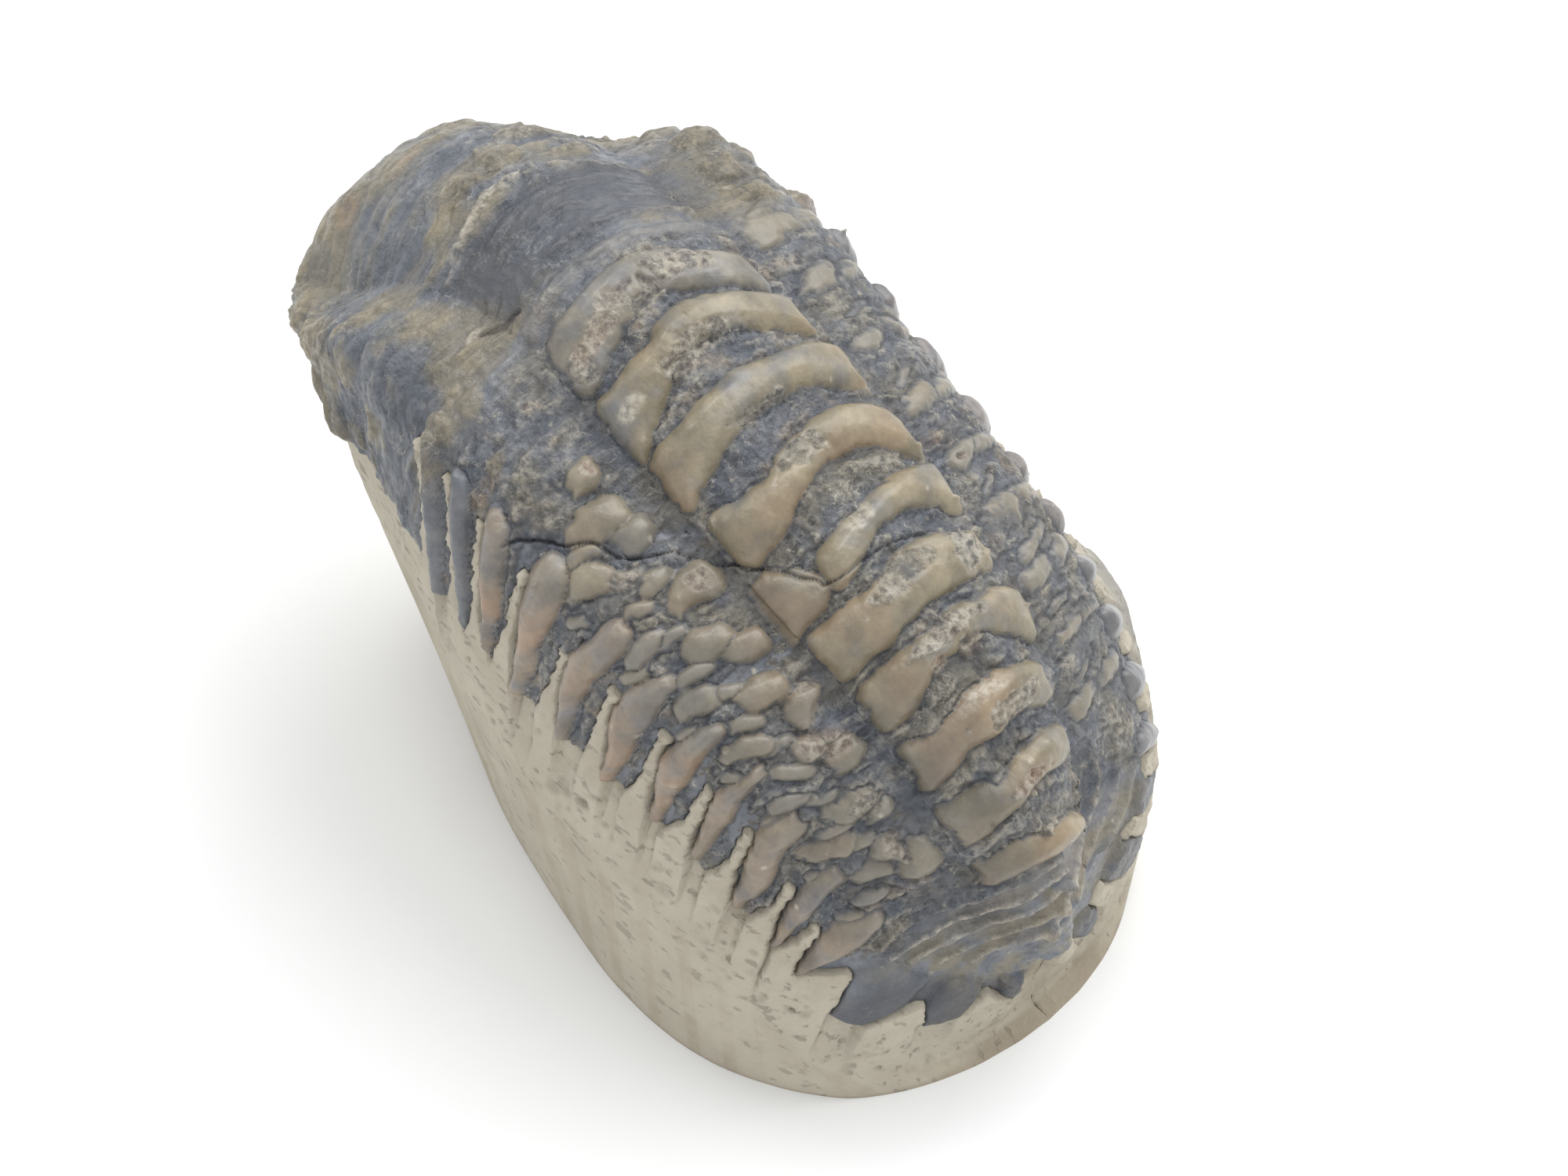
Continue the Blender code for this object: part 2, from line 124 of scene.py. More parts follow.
def smooth(x, table, column=1):
    """Cubic curve through one column of a table of key values."""
    xs = np.array([line[0] for line in table], float)
    ys = np.array([line[column] for line in table], float)
    slopes = np.gradient(ys, xs)
    i = np.clip(np.searchsorted(xs, x) - 1, 0, len(xs) - 2)
    step = xs[i + 1] - xs[i]
    t = np.clip((x - xs[i]) / step, 0, 1)
    start = (1 + 2 * t) * (1 - t) ** 2 * ys[i] + t * (1 - t) ** 2 * step * slopes[i]
    end = t * t * (3 - 2 * t) * ys[i + 1] + t * t * (t - 1) * step * slopes[i + 1]
    return start + end


def ramp(x, low, high):
    t = np.clip((x - low) / (high - low), 0, 1)
    return t * t * (3 - 2 * t)


def trace_back():
    """Midline of the back: arc length, x, z and slope."""
    arc = np.arange(BACK_SLOPE[0][0] - 2, BACK_SLOPE[-1][0] + 2, ARC_STEP)
    slope = np.radians(smooth(arc, BACK_SLOPE))
    middle = (slope[1:] + slope[:-1]) / 2
    x = np.concatenate([[0], np.cumsum(np.cos(middle) * ARC_STEP)])
    z = np.concatenate([[0], -np.cumsum(np.sin(middle) * ARC_STEP)])
    x -= np.interp(0, arc, x) + CREST_DROP * np.sin(slope)
    z -= np.interp(0, arc, z) + CREST_DROP * np.cos(slope)
    return arc, x, z, slope


BACK = trace_back()


def plain_surface(row, lane):
    """Points of the smooth body without its relief."""
    w = np.abs(lane)
    arc, axis, fall = (smooth(row, AXIS_ROWS, i) for i in (1, 2, 3))
    flank = [np.where(lane > 0, smooth(row, RIGHT_ROWS, i), smooth(row, LEFT_ROWS, i)) for i in range(1, 6)]
    out, down, tip_out, tip_down, sweep = flank
    s = np.clip((w - 1) / 2, 0, 1.3)
    a, b, c = (1 - s) ** 2, 2 * s * (1 - s) * SHOULDER_WEIGHT, s * s
    side_y = (a * axis + b * out + c * tip_out) / (a + b + c)
    side_n = (a * fall + b * down + c * tip_down) / (a + b + c)
    near = np.clip(w, 0, 1)
    y = np.where(w < 1, axis * near, side_y)
    n = np.where(w < 1, fall * near ** AXIS_POWER, side_n)
    arch = RING_ARCH * np.clip((row + 5) / 3, 0, 1) * np.clip((15 - row) / 4, 0, 1)
    along = arc + sweep * s ** 1.5 - arch * (1 - near ** AXIS_POWER)
    x, z, slope = (np.interp(along, BACK[0], line) for line in BACK[1:])
    return np.stack([x - n * np.sin(slope), np.sign(lane) * y, z - n * np.cos(slope)], -1)


def steps(row, lane, e):
    """Change of place over twice a small step along the rows and along the lanes."""
    along = plain_surface(row + e, lane) - plain_surface(row - e, lane)
    across = plain_surface(row, lane + e) - plain_surface(row, lane - e)
    return along, across


def outward(row, lane):
    """Unit normals of the smooth body; where the two sides meet, that of the midline."""
    n = np.cross(*steps(row, lane, 0.02))
    slope = np.interp(smooth(row, AXIS_ROWS, 1), BACK[0], BACK[3])
    shaded_crease = np.stack([np.sin(slope), np.zeros(len(row)), np.cos(slope)], -1)
    ends = (row <= -6) | (row >= 15)
    n = np.where(ends[:, None], shaded_crease, n)
    return n / np.maximum(np.linalg.norm(n, axis=-1, keepdims=True), 1e-9)


def stretch(row, lane):
    """Millimetres per row and per lane at each point."""
    e = 0.03
    per_row, per_lane = (np.linalg.norm(step, axis=-1) / (2 * e) for step in steps(row, lane, e))
    return np.maximum(per_row, 0.5), np.maximum(per_lane, 1.0)


def scatter(cell, seed):
    """A number from 0 to 1 for each cell of a lattice, always the same one."""
    h = cell[..., 0] * 374761393 + cell[..., 1] * 668265263 + cell[..., 2] * 1442695041 + seed * 974634777
    h = ((h & 0xFFFFFFFF) ^ ((h & 0xFFFFFFFF) >> 13)) * 1274126177
    h = (h & 0xFFFFFFFF) ^ ((h & 0xFFFFFFFF) >> 16)
    return (h & 0xFFFFFF) / 16777215.0


def noise(points, scale, seed):
    """Smooth noise from -1 to 1 with features about as long as scale."""
    q = points / scale
    cell = np.floor(q).astype(np.int64)
    t = q - cell
    t = t * t * (3 - 2 * t)
    total = np.zeros(len(points))
    for corner in np.ndindex(2, 2, 2):
        corner = np.array(corner)
        share = np.prod(np.where(corner, t, 1 - t), axis=-1)
        total += share * scatter(cell + corner, seed)
    return total * 2 - 1


def fractal(points, scale, seed, octaves=3):
    total = np.zeros(len(points))
    for i in range(octaves):
        total += noise(points, scale / 2 ** i, seed + 17 * i) / 2 ** i
    return total / (2 - 2.0 ** (1 - octaves))


def dots(points, scale, seed, chance):
    """Nearness, 0 to 1, to dots strewn one to a cell where chance allows."""
    q = points / scale
    cell = np.floor(q).astype(np.int64)
    best = np.zeros(len(points))
    for offset in np.ndindex(3, 3, 3):
        other = cell + np.array(offset) - 1
        centre = other + np.stack([scatter(other, seed + i) for i in range(3)], -1)
        size = 0.25 + 0.35 * scatter(other, seed + 3)
        there = scatter(other, seed + 4) < chance
        distance = np.linalg.norm(q - centre, axis=-1) / size
        best = np.maximum(best, np.where(there, np.clip(1 - distance, 0, 1), 0))
    return best


def rounded(u, v, corner):
    """Distance to an outline with rounded corners from the distances to its sides."""
    a, b = u + corner, v + corner
    return np.hypot(np.maximum(a, 0), np.maximum(b, 0)) + np.minimum(np.maximum(a, b), 0) - corner


def through(w, low, middle, high):
    """Value at lane w of the curve through values at lanes 1.9, 2.35 and 3."""
    w = np.clip(w, 1.6, 3.1)
    curve = low * (w - 2.35) * (w - 3.0) / (0.45 * 1.1)
    curve += middle * (w - 1.9) * (w - 3.0) / (0.45 * -0.65)
    return curve + high * (w - 1.9) * (w - 2.35) / (1.1 * 0.65)


def spine_row(row, lane):
    """Rows as the left spines lean: whole numbers on the spines, halves on the rock between."""
    halves = np.concatenate([[-6.5], np.arange(len(LEFT_FINGERS)) + 0.5, [15.5]])
    leant = []
    for level in range(3):
        known = np.concatenate([[-6.5], [f[level] for f in LEFT_FINGERS], [15.5]])
        leant.append(np.interp(row, known, halves))
    return np.where(lane > 0, row, through(np.abs(lane), *leant))


def finger_share(row, lane, per_row, per_lane, grow=0.0):
    """1 in the rock fingers between the spines, 0 outside them; grow widens them in millimetres."""
    w = np.abs(lane)
    best = np.full(len(row), 9.0)
    for number, finger in enumerate(LEFT_FINGERS):
        near = (lane < -1.9) & (np.abs(row - finger[2]) < 1.4)
        middle = through(w[near], *finger[:3])
        top = finger[3]
        half = 0.26 + 0.14 * ramp(w[near], top, 2.65) + 0.75 * ramp(w[near], 2.72, 3.08)
        half += 0.16 * np.exp(-((w[near] - top - 0.035) / 0.035) ** 2)
        half += 0.14 * np.sin(w[near] * 31 + number * 2.1) * np.sin(w[near] * 17 + number)
        if number > 10:
            half = 0.12 + 2.0 * ramp(w[near], top - 0.1, 3.1)
        side = np.abs(row[near] - middle) * per_row[near] - half
        end = (top - w[near]) * per_lane[near]
        best[near] = np.minimum(best[near], np.maximum(side, end))
    right = lane > 1.9
    p = row[right] - np.floor(row[right]) - 0.5
    half = 0.3 + 0.5 * ramp(w[right], 2.4, 3.0) + 0.5 * ramp(row[right], 11.0, 11.6)
    side = np.abs(p) * per_row[right] - half
    end = (2.45 - 0.25 * ramp(row[right], 11.0, 12.0) - w[right]) * per_lane[right]
    best[right] = np.maximum(side, end) + 9 * ramp(row[right], 0.9, 0.4)
    return ramp(best - grow, 0.2, -0.16)


# hollow is a dark slate colour: in part the fossil's own darker parts, in part painted shade in creases,
# cracks, the axial furrow and low spots. calcite_and_sheen is pale calcite, and on the raised head streaks
# also a painted highlight.
MASKS = ("shell", "mauve", "rust", "calcite_and_sheen", "hollow", "olive", "crumb")


def soft_max(a, b, width):
    """The larger of two heights with the corner between them rounded."""
    h = np.clip(0.5 + (a - b) / (2 * width), 0, 1)
    return b + (a - b) * h + width * h * (1 - h)


# Sizes in millimetres of the waver laid over all outlines, and how much longer its features are.
WAVER_SIZES = (0.38, 0.19, 0.07)
WAVER_STRETCH = 8


def waver(points, seed):
    """How far outlines stray at each point."""
    layers = enumerate(WAVER_SIZES)
    return sum(size * noise(points, size * WAVER_STRETCH, seed + i) for i, size in layers)


class Skin:
    """Relief and colour masks of the fossil at many points."""

    def __init__(self, row, lane):
        self.points = plain_surface(row, lane)
        self.per_row, self.per_lane = stretch(row, lane)
        self.row = row + waver(self.points, 3) / self.per_row
        self.lane = lane + waver(self.points, 7) / self.per_lane
        self.flow = np.stack([spine_row(self.row, self.lane) * 5.0, self.lane * 3.6, 0 * row], -1)
        self.rise = np.zeros(len(row))
        self.touch_crease = np.zeros(len(row))
        self.cut = np.zeros(len(row))
        self.cover = np.zeros(len(row))
        for name in MASKS:
            setattr(self, name, np.zeros(len(row)))

    def mark(self, name, *shares, near=slice(None)):
        """Strengthen a mask to the largest of some shares."""
        mask = getattr(self, name)
        for share in shares:
            mask[near] = np.maximum(mask[near], share)

    def raise_pad(self, near, d, height, edge, **tints):
        """Raise a polished patch where d, the distance to its outline, is negative."""
        share = np.clip(-d / edge, 0, 1)
        rise = height * (1 - (1 - share) ** 2) ** 0.8
        lower = np.minimum(self.rise[near], rise)
        # Where two raised patches meet, touch_crease marks the crease between them; that crease is later
        # darkened as painted shade.
        touch = np.exp(-((self.rise[near] - rise) / 0.1) ** 2) * (lower > 0.25)
        self.touch_crease[near] = np.maximum(self.touch_crease[near], touch)
        self.rise[near] = np.maximum(self.rise[near], rise)
        inside = ramp(d, 0.02, -0.2)
        for name, amount in tints.items():
            self.mark(name, amount * inside, near=near)

    def raise_oval(self, row, lane, half_u, half_v, height, turn=0.0, **tints):
        """A small dome at one spot; half sizes in millimetres along the body and across it."""
        near = (np.abs(self.row - row) < 1) & (np.abs(self.lane - lane) < 0.7)
        u = (self.row[near] - row) * self.per_row[near]
        v = (self.lane[near] - lane) * self.per_lane[near]
        c, s = np.cos(np.radians(turn)), np.sin(np.radians(turn))
        u, v = u * c + v * s, v * c - u * s
        reach = (np.abs(u / half_u) ** 2.8 + np.abs(v / half_v) ** 2.8) ** (1 / 2.8)
        reach *= 1 + 0.4 * fractal(self.points[near], 1.5, 12, 3)
        small = min(half_u, half_v)
        self.raise_pad(near, (reach - 1) * small, height, small, **tints)

    def patch(self, row, lane, half_u, half_v, rough=0.5):
        """Points near a spot and how far each lies inside a ragged patch there, 0 to 1."""
        near = (np.abs(self.row - row) < 2.5) & (np.abs(self.lane - lane) < 1.5)
        u = (self.row[near] - row) * self.per_row[near] / half_u
        v = (self.lane[near] - lane) * self.per_lane[near] / half_v
        edge = np.hypot(u, v) + rough * fractal(self.points[near], 1.1, 8)
        return near, ramp(edge, 1.15, 0.55)

    def spread(self, name, row, lane, half_u, half_v, amount, rough=0.5):
        """Strengthen a mask in a ragged patch."""
        near, inside = self.patch(row, lane, half_u, half_v, rough)
        self.mark(name, amount * inside, near=near)

    def broken(self, corners, half, seed):
        """Like line, but worn away in places."""
        return self.line(corners, half) * ramp(fractal(self.points, 1.6, seed), -0.75, -0.15)

    def line(self, corners, half):
        """How near, 0 to 1, each point is to a line through corners given as row and lane."""
        best = np.full(len(self.row), 99.0)
        for (r0, l0), (r1, l1) in zip(corners[:-1], corners[1:]):
            u, v = (self.row - r0) * self.per_row, (self.lane - l0) * self.per_lane
            du, dv = (r1 - r0) * self.per_row, (l1 - l0) * self.per_lane
            t = np.clip((u * du + v * dv) / (du * du + dv * dv), 0, 1)
            best = np.minimum(best, np.hypot(u - t * du, v - t * dv))
        return np.exp(-(best / half) ** 2)


# The end of ring 6 cut off by the crack: corners as row and lane.
SPLIT_END = [(5.58, -1.0), (5.58, -0.86), (6.4, -0.55), (6.56, -0.68), (6.42, -1.0)]
ROW_MM, LANE_MM = 5.0, 7.2


def polygon_distance(row, lane, corners):
    """About the distance in millimetres to the outline of a convex polygon, negative inside."""
    best = np.full(len(row), -99.0)
    for (r0, l0), (r1, l1) in zip(corners, corners[1:] + corners[:1]):
        du, dv = (r1 - r0) * ROW_MM, (l1 - l0) * LANE_MM
        u, v = (row - r0) * ROW_MM, (lane - l0) * LANE_MM
        best = np.maximum(best, (v * du - u * dv) / np.hypot(du, dv))
    return best


def add_rings(skin):
    """Rings of the axis and the end that is split off the sixth."""
    axis = smooth(skin.row, AXIS_ROWS, 2)
    for number, (left, right, wide, narrow, far, height) in enumerate(RINGS, 1):
        near = (np.abs(skin.row - number) < 1) & (np.abs(skin.lane) < 1.4)
        lane = skin.lane[near]
        course = smooth(np.clip(lane, -1, 0.95), RING_COURSES, number)
        widths = [(-1, 1.18 * wide), (-0.6, 1.08 * narrow), (0.5, narrow), (0.9, far)]
        half = smooth(np.clip(lane, -1, 0.9), widths)
        per_row = skin.per_row[near]
        u = np.abs(skin.row[near] - course) * per_row - half * per_row * 1.36
        v = (np.abs(lane - (left + right) / 2) - (right - left) / 2) * axis[near]
        d = rounded(u, v, 0.9)
        faint = {1: 0.3, 2: 0.65}.get(number, 1.0)
        skin.raise_pad(near, d, height + 0.2, 1.5, shell=faint)
    near = (np.abs(skin.row - 6.05) < 1) & (np.abs(skin.lane + 0.85) < 0.6)
    d = polygon_distance(skin.row[near], skin.lane[near], SPLIT_END) - 0.35
    skin.raise_pad(near, d, 1.15, 1.4, shell=0.9, olive=0.6, hollow=0.3)


# Nodes of one segment: row past the segment's own, lane, half sizes along and across, height, turn,
# then the shares of polished shell and of olive film.
LEFT_NODES = [
    (-0.24, -1.32, 0.95, 1.45, 1.05, -14, 0.6, 0.6), (0.1, -1.19, 1.0, 1.35, 1.1, 8, 0.7, 0.5),
    (0.2, -1.74, 0.72, 1.75, 0.85, -22, 0.7, 0.4), (-0.08, -1.57, 0.6, 1.4, 0.75, -20, 0.35, 0.6),
    (0.42, -1.5, 0.5, 1.1, 0.65, -20, 0.2, 0.6), (0.33, -2.05, 0.42, 1.1, 0.65, -30, 0.35, 0.6),
]
RIGHT_NODES = [
    (-0.27, 1.24, 0.95, 1.9, 0.55, 14, 0.45, 0.7), (-0.68, 1.32, 0.5, 1.7, 0.4, 18, 0.3, 0.7),
    (-0.38, 1.74, 0.8, 2.3, 0.42, 16, 0.35, 0.7),
]
# Pale seams between the segments beside the right end of the rings: their rows.
RIGHT_SEAMS = (3.57, 4.53, 5.43, 6.31, 7.12, 7.95)


def add_nodes(skin):
    """Domes between the rings and the spines."""
    for side, (nodes, first) in enumerate(((LEFT_NODES, 4), (RIGHT_NODES, 2))):
        for k in range(first, 11):
            for i, (row, lane, half_u, half_v, height, turn, shell, olive) in enumerate(nodes):
                shift, swell = np.sin(k * 2.3 + i * 4.1), np.sin(k * 3.7 + i * 2.9 + side)
                size = (1.3 - 0.03 * (k - 3)) * (1 + 0.14 * swell)
                place = (k + row + 0.03 * shift, lane + 0.02 * swell)
                look = {"turn": turn + 12 * shift, "shell": shell * (0.8 + 0.35 * swell), "olive": olive}
                skin.raise_oval(*place, half_u * size, half_v * size * (1 + 0.1 * shift), height, **look)
    skin.raise_oval(3.17, -1.22, 1.1, 1.45, 1.1, turn=8, shell=0.8, olive=0.35)


def add_spines(skin):
    """Spines of the segments on both sides, the left ones brighter."""
    w = np.abs(skin.lane)
    row = spine_row(skin.row, skin.lane)
    for k in range(1, 12):
        for side in (-1, 1):
            near = (skin.lane * side > 1.4) & (np.abs(row - k) < 0.7)
            lane = w[near]
            left = side < 0
            half = 0.22 + 0.09 * ramp(lane, 1.7, 2.3) - 0.15 * ramp(lane, 2.45, 3.05)
            shift = 0.12 if left else 0.0
            u = (np.abs(row[near] - k + shift) - half) * skin.per_row[near]
            start = (1.72 if k > 3 else 1.95) if left else 2.0
            v = np.maximum(start - lane, lane - 3.0) * skin.per_lane[near]
            d = rounded(u, v, 0.8)
            tint = (0.1 if k < 3 else 1.0) if left else 0.35
            upper = ramp(lane, 2.3, 1.9)
            look = {"mauve": tint * (1 - 0.5 * upper), "shell": 0.5 * tint * upper}
            skin.raise_pad(near, d, 1.1 if left else 0.85, 1.3, **look)


def add_lappets(skin):
    """Teeth on both sides of the tail shield."""
    w = np.abs(skin.lane)
    row = spine_row(skin.row, skin.lane)
    for k, half in ((12, 0.42), (13, 0.4), (14, 0.3)):
        for side in (-1, 1):
            near = (skin.lane * side > 1.6) & (np.abs(row - k) < 0.7)
            lane = w[near]
            u = (np.abs(row[near] - k) - half + 0.12 * ramp(lane, 2.6, 3.0)) * skin.per_row[near]
            v = np.maximum(2.1 - lane, lane - 3.02) * skin.per_lane[near]
            skin.raise_pad(near, np.maximum(u, v), 0.55, 0.9)


# Worn or crumbled spots: row, lane, half sizes in millimetres along and across, depth, stain.
WORN = [
    (3.1, -0.12, 0.9, 2.9, 0.55, 0.1), (4.24, -0.05, 0.5, 2.6, 0.4, 0.0),
    (5.0, -0.12, 0.9, 1.9, 0.45, 0.0), (5.8, -0.3, 0.8, 2.8, 0.35, 0.0),
    (6.92, -0.05, 0.8, 2.8, 0.4, 0.0), (7.0, 0.6, 1.4, 1.7, 0.7, 0.0),
    (7.8, -0.05, 0.7, 2.2, 0.45, 0.2), (8.14, 0.12, 0.6, 0.8, 0.95, 0.3),
    (8.1, -0.25, 0.6, 0.9, 0.2, 0.9), (8.98, 0.15, 0.9, 2.4, 0.4, 0.2),
    (10.0, 0.0, 0.8, 1.6, 0.45, 0.9), (10.72, 0.0, 0.5, 1.0, 0.25, 0.2),
    (2.25, -0.15, 0.9, 1.2, 0.9, 0.1), (2.15, -0.6, 0.9, 2.4, 0.45, 0.4),
    (2.32, -0.8, 0.6, 0.8, 0.8, 0.0), (3.16, -1.21, 0.5, 0.7, 0.35, 0.9),
    (5.11, -1.17, 0.6, 0.8, 0.35, 0.4), (7.8, -1.25, 1.3, 1.6, 0.45, 0.5),
    (9.75, -1.28, 0.9, 1.0, 0.35, 0.3), (6.95, -1.15, 0.5, 0.8, 0.35, 0.3),
    (8.85, -1.25, 0.8, 1.2, 0.35, 0.2), (1.6, 0.3, 0.8, 3.0, 0.2, 0.0),
    (2.05, 0.25, 1.1, 3.2, 0.3, 0.15), (2.0, -0.35, 0.8, 1.8, 0.3, 0.25),
    (5.3, 1.1, 0.8, 1.2, 0.35, 0.3), (5.75, 1.2, 0.5, 0.9, 0.35, 0.3),
    (10.45, -1.4, 0.8, 1.8, 0.35, 0.2), (3.45, -1.8, 0.6, 1.4, 0.3, 0.0),
    (4.45, -1.5, 0.6, 1.4, 0.35, 0.2),
]
# Chalky spots: row, lane, half sizes in millimetres along and across.
CHALKY = [
    (3.13, 0.02, 0.9, 2.4), (5.95, -0.04, 0.8, 1.6), (3.1, -0.75, 0.6, 1.2), (8.69, -0.08, 0.6, 1.2),
    (7.4, -1.17, 0.6, 1.2), (4.69, -0.9, 0.6, 0.9),
]
# Cracks as lines through row and lane.
LONG_CRACK = [
    (2.91, -2.15), (3.93, -1.46), (4.31, -1.35), (4.59, -1.14), (5.03, -1.06), (5.39, -0.91),
    (5.99, -0.74), (6.33, -0.61), (6.41, -0.5), (6.47, -0.25), (6.57, -0.05), (6.73, 0.49),
]
HEAD_CRACK = [(0.6, -1.1), (0.76, -0.98), (0.92, -0.84)]
# Knobs of the head shield: row, lane, half sizes along and across, height.
HEAD_KNOBS = [
    (-2.4, -2.86, 1.0, 1.4, 0.7), (-1.7, -2.8, 0.8, 1.2, 0.5), (-3.0, -2.75, 0.8, 1.2, 0.5),
    (-1.6, 0.1, 1.3, 1.6, 0.5), (-1.45, -0.25, 0.9, 1.0, 0.5), (-2.1, 0.45, 1.0, 1.8, 0.4),
    (0.2, 1.35, 1.2, 1.6, 0.7), (-0.8, 1.5, 1.3, 1.8, 0.6), (0.9, 1.45, 0.9, 1.5, 0.6),
    (-1.7, 1.45, 1.2, 1.6, 0.5), (-0.2, 1.95, 1.0, 1.5, 0.5), (1.3, -1.45, 0.8, 1.0, 0.4),
    (2.2, -1.62, 0.7, 0.9, 0.4), (1.0, -1.9, 0.7, 0.9, 0.35), (-3.4, 0.3, 1.2, 2.0, 0.4),
]
# Thin raised lines: height, half width, share of pale colour, then the corners as row and lane.
HEAD_LINES = [
    (0.5, 0.5, 0.95, [(-0.66, -0.95), (-0.82, -0.62), (-0.88, -0.3), (-0.8, 0.05)]),
    (0.4, 0.45, 0.6, [(-0.8, 0.05), (-0.72, 0.4), (-0.66, 0.7)]),
    (0.35, 0.35, 0.5, [(-1.15, -0.2), (-1.2, 0.3), (-1.15, 0.75)]),
    (0.35, 0.35, 0.5, [(-1.55, -0.1), (-1.6, 0.4), (-1.55, 0.85)]),
    (0.35, 0.35, 0.5, [(-1.95, 0.0), (-2.0, 0.45), (-1.95, 0.9)]),
    (0.3, 0.35, 0.4, [(-2.4, 0.0), (-2.45, 0.5)]),
    (0.18, 0.2, 0.55, [(0.1, -0.68), (0.06, -0.45)]),
    (0.2, 0.25, 0.2, [(-0.2, -0.6), (-0.3, -0.1), (-0.15, 0.6)]),
    (0.2, 0.25, 0.25, [(0.35, -0.95), (0.22, -0.5), (0.25, 0.0), (0.45, 0.5), (0.55, 0.85)]),
    (0.35, 0.35, 0.55, [(0.85, -0.75), (0.72, -0.4), (0.75, 0.1), (0.95, 0.6), (1.05, 0.9)]),
]
TAIL_LINES = [
    (0.5, 0.28, 0.65, [(11.05, -2.1), (11.1, -1.5), (11.2, -1.0), (11.32, -0.5), (11.4, 0.2)]),
    (0.55, 0.28, 0.8, [(11.35, -2.1), (11.45, -1.5), (11.55, -1.0), (11.68, -0.4), (11.75, 0.3)]),
    (0.5, 0.28, 0.75, [(11.75, -2.0), (11.85, -1.4), (11.95, -0.9), (12.05, -0.3), (12.1, 0.3)]),
    (0.45, 0.28, 0.65, [(12.2, -1.8), (12.35, -1.2), (12.45, -0.7), (12.5, 0.2)]),
    (0.45, 0.28, 0.6, [(12.65, -1.6), (12.85, -1.0), (12.95, -0.4), (12.98, 0.2)]),
    (0.55, 0.36, 0.9, [
        (10.35, 1.18), (11.0, 1.15), (11.5, 0.95), (11.95, 0.5), (12.6, 0.0), (13.1, -0.4),
    ]),
    (0.45, 0.32, 0.5, [(10.6, 1.5), (11.3, 1.4), (12.0, 1.1), (12.8, 0.6)]),
    (0.45, 0.32, 0.5, [(11.0, 1.9), (11.8, 1.75), (12.5, 1.4)]),
]


def worn_places(skin):
    """Crumbled spots, where broken shell laps over the raised parts."""
    for *spot, depth, stain in WORN:
        near, inside = skin.patch(*spot, 0.8)
        skin.mark("cover", inside, near=near)
        skin.mark("cut", 0.35 * depth * inside, near=near)
        skin.mark("rust", inside * stain, near=near)


def head_relief(skin):
    """Streaks, low ridges and lobes of the head shield, with painted shade in the low streaks and a painted
    highlight on the high ones.
    """
    head = ramp(skin.row, 1.8, 1.0)
    flow = np.stack([skin.row * 4.0, skin.lane * 3.2, 0 * skin.row], -1)
    streaks = fractal(flow, 1.0, 51, 4)
    broad = fractal(flow, 3.0, 53, 3)
    mottle = fractal(skin.points, 2.6, 52, 4)
    grit = np.abs(fractal(flow, 0.8, 50, 3)) * 2.4 - 0.5
    neck = ramp(skin.row, -0.6, -0.2) * ramp(skin.row, 1.0, 0.7)
    calm = 1 - 0.6 * neck * ramp(np.abs(skin.lane), 1.0, 0.8)
    lift = head * (0.25 * streaks + 0.26 * broad + 0.16 * mottle + 0.14 * grit) * calm
    slanted = skin.row + 1.2 * np.clip(-skin.lane - 0.45, 0, 1)
    front = ramp(skin.row, -0.75, -1.2) * ramp(slanted, -1.2, -1.8)
    lumps = np.clip(0.55 + 1.4 * broad + 0.9 * streaks, 0, 1)
    skin.mark("olive", head * front * lumps)
    right = ramp(skin.lane, 0.85, 1.1) * ramp(skin.row, 1.8, 0.2)
    skin.mark("olive", right * np.clip(0.2 + 1.5 * mottle, 0, 0.9))
    skin.mark("olive", head * calm * 0.9 * ramp(broad - 0.6 * mottle, 0.0, 0.4))
    skin.mark("shell", head * calm * 0.8 * ramp(streaks + broad - 0.3 * mottle, 0.2, 0.8))
    # Pale on the tops of the raised streaks: in part calcite, in part a painted highlight.
    skin.mark("calcite_and_sheen", head * calm * 0.6 * ramp(streaks + 0.5 * grit, 0.4, 0.9))
    # Painted shade in the low streaks, mottles and grit of the head relief.
    low_shade = ramp(streaks - 0.3 * broad, -0.15, -0.7) + ramp(mottle, -0.2, -0.7) + ramp(grit, -0.2, -0.5)
    skin.mark("hollow", head * 0.4 * np.clip(low_shade, 0, 1))
    skin.mark("crumb", head * calm * np.clip(0.5 + 0.8 * mottle, 0.2, 0.9))
    add_head_ridges(skin, lift, streaks)
    band = ramp(skin.row, -0.8, -0.4) * ramp(skin.row, 1.2, 0.8) * ramp(skin.lane, 1.2, 0.9)
    skin.mark("hollow", band * ramp(skin.lane, -1.2, -0.8))
    return lift


def add_head_ridges(skin, lift, streaks):
    """Thin ridges, knobs, the crack and small stains of the head shield."""
    for number, (height, half, pale, corners) in enumerate(HEAD_LINES):
        close = skin.broken(corners, half, 54 + number)
        lift += height * close * (0.8 + streaks)
        chalk = pale * ramp(close, 0.2, 0.8) * np.clip(0.9 + 1.5 * streaks, 0, 1)
        skin.mark("calcite_and_sheen", chalk)
    for knob in HEAD_KNOBS:
        skin.rise[:] = 0
        skin.raise_oval(*knob, shell=0.6)
        lift += skin.rise
    crack = skin.line(HEAD_CRACK, 0.16)
    lift -= 0.35 * crack
    # Painted shade in the crack.
    skin.mark("hollow", 0.8 * crack)
    skin.spread("calcite_and_sheen", 0.5, -1.13, 0.35, 1.3, 1.0, 0.5)
    skin.spread("rust", -3.4, -0.62, 1.0, 1.6, 0.35)
    skin.spread("rust", -3.0, -0.2, 0.8, 1.2, 0.3)


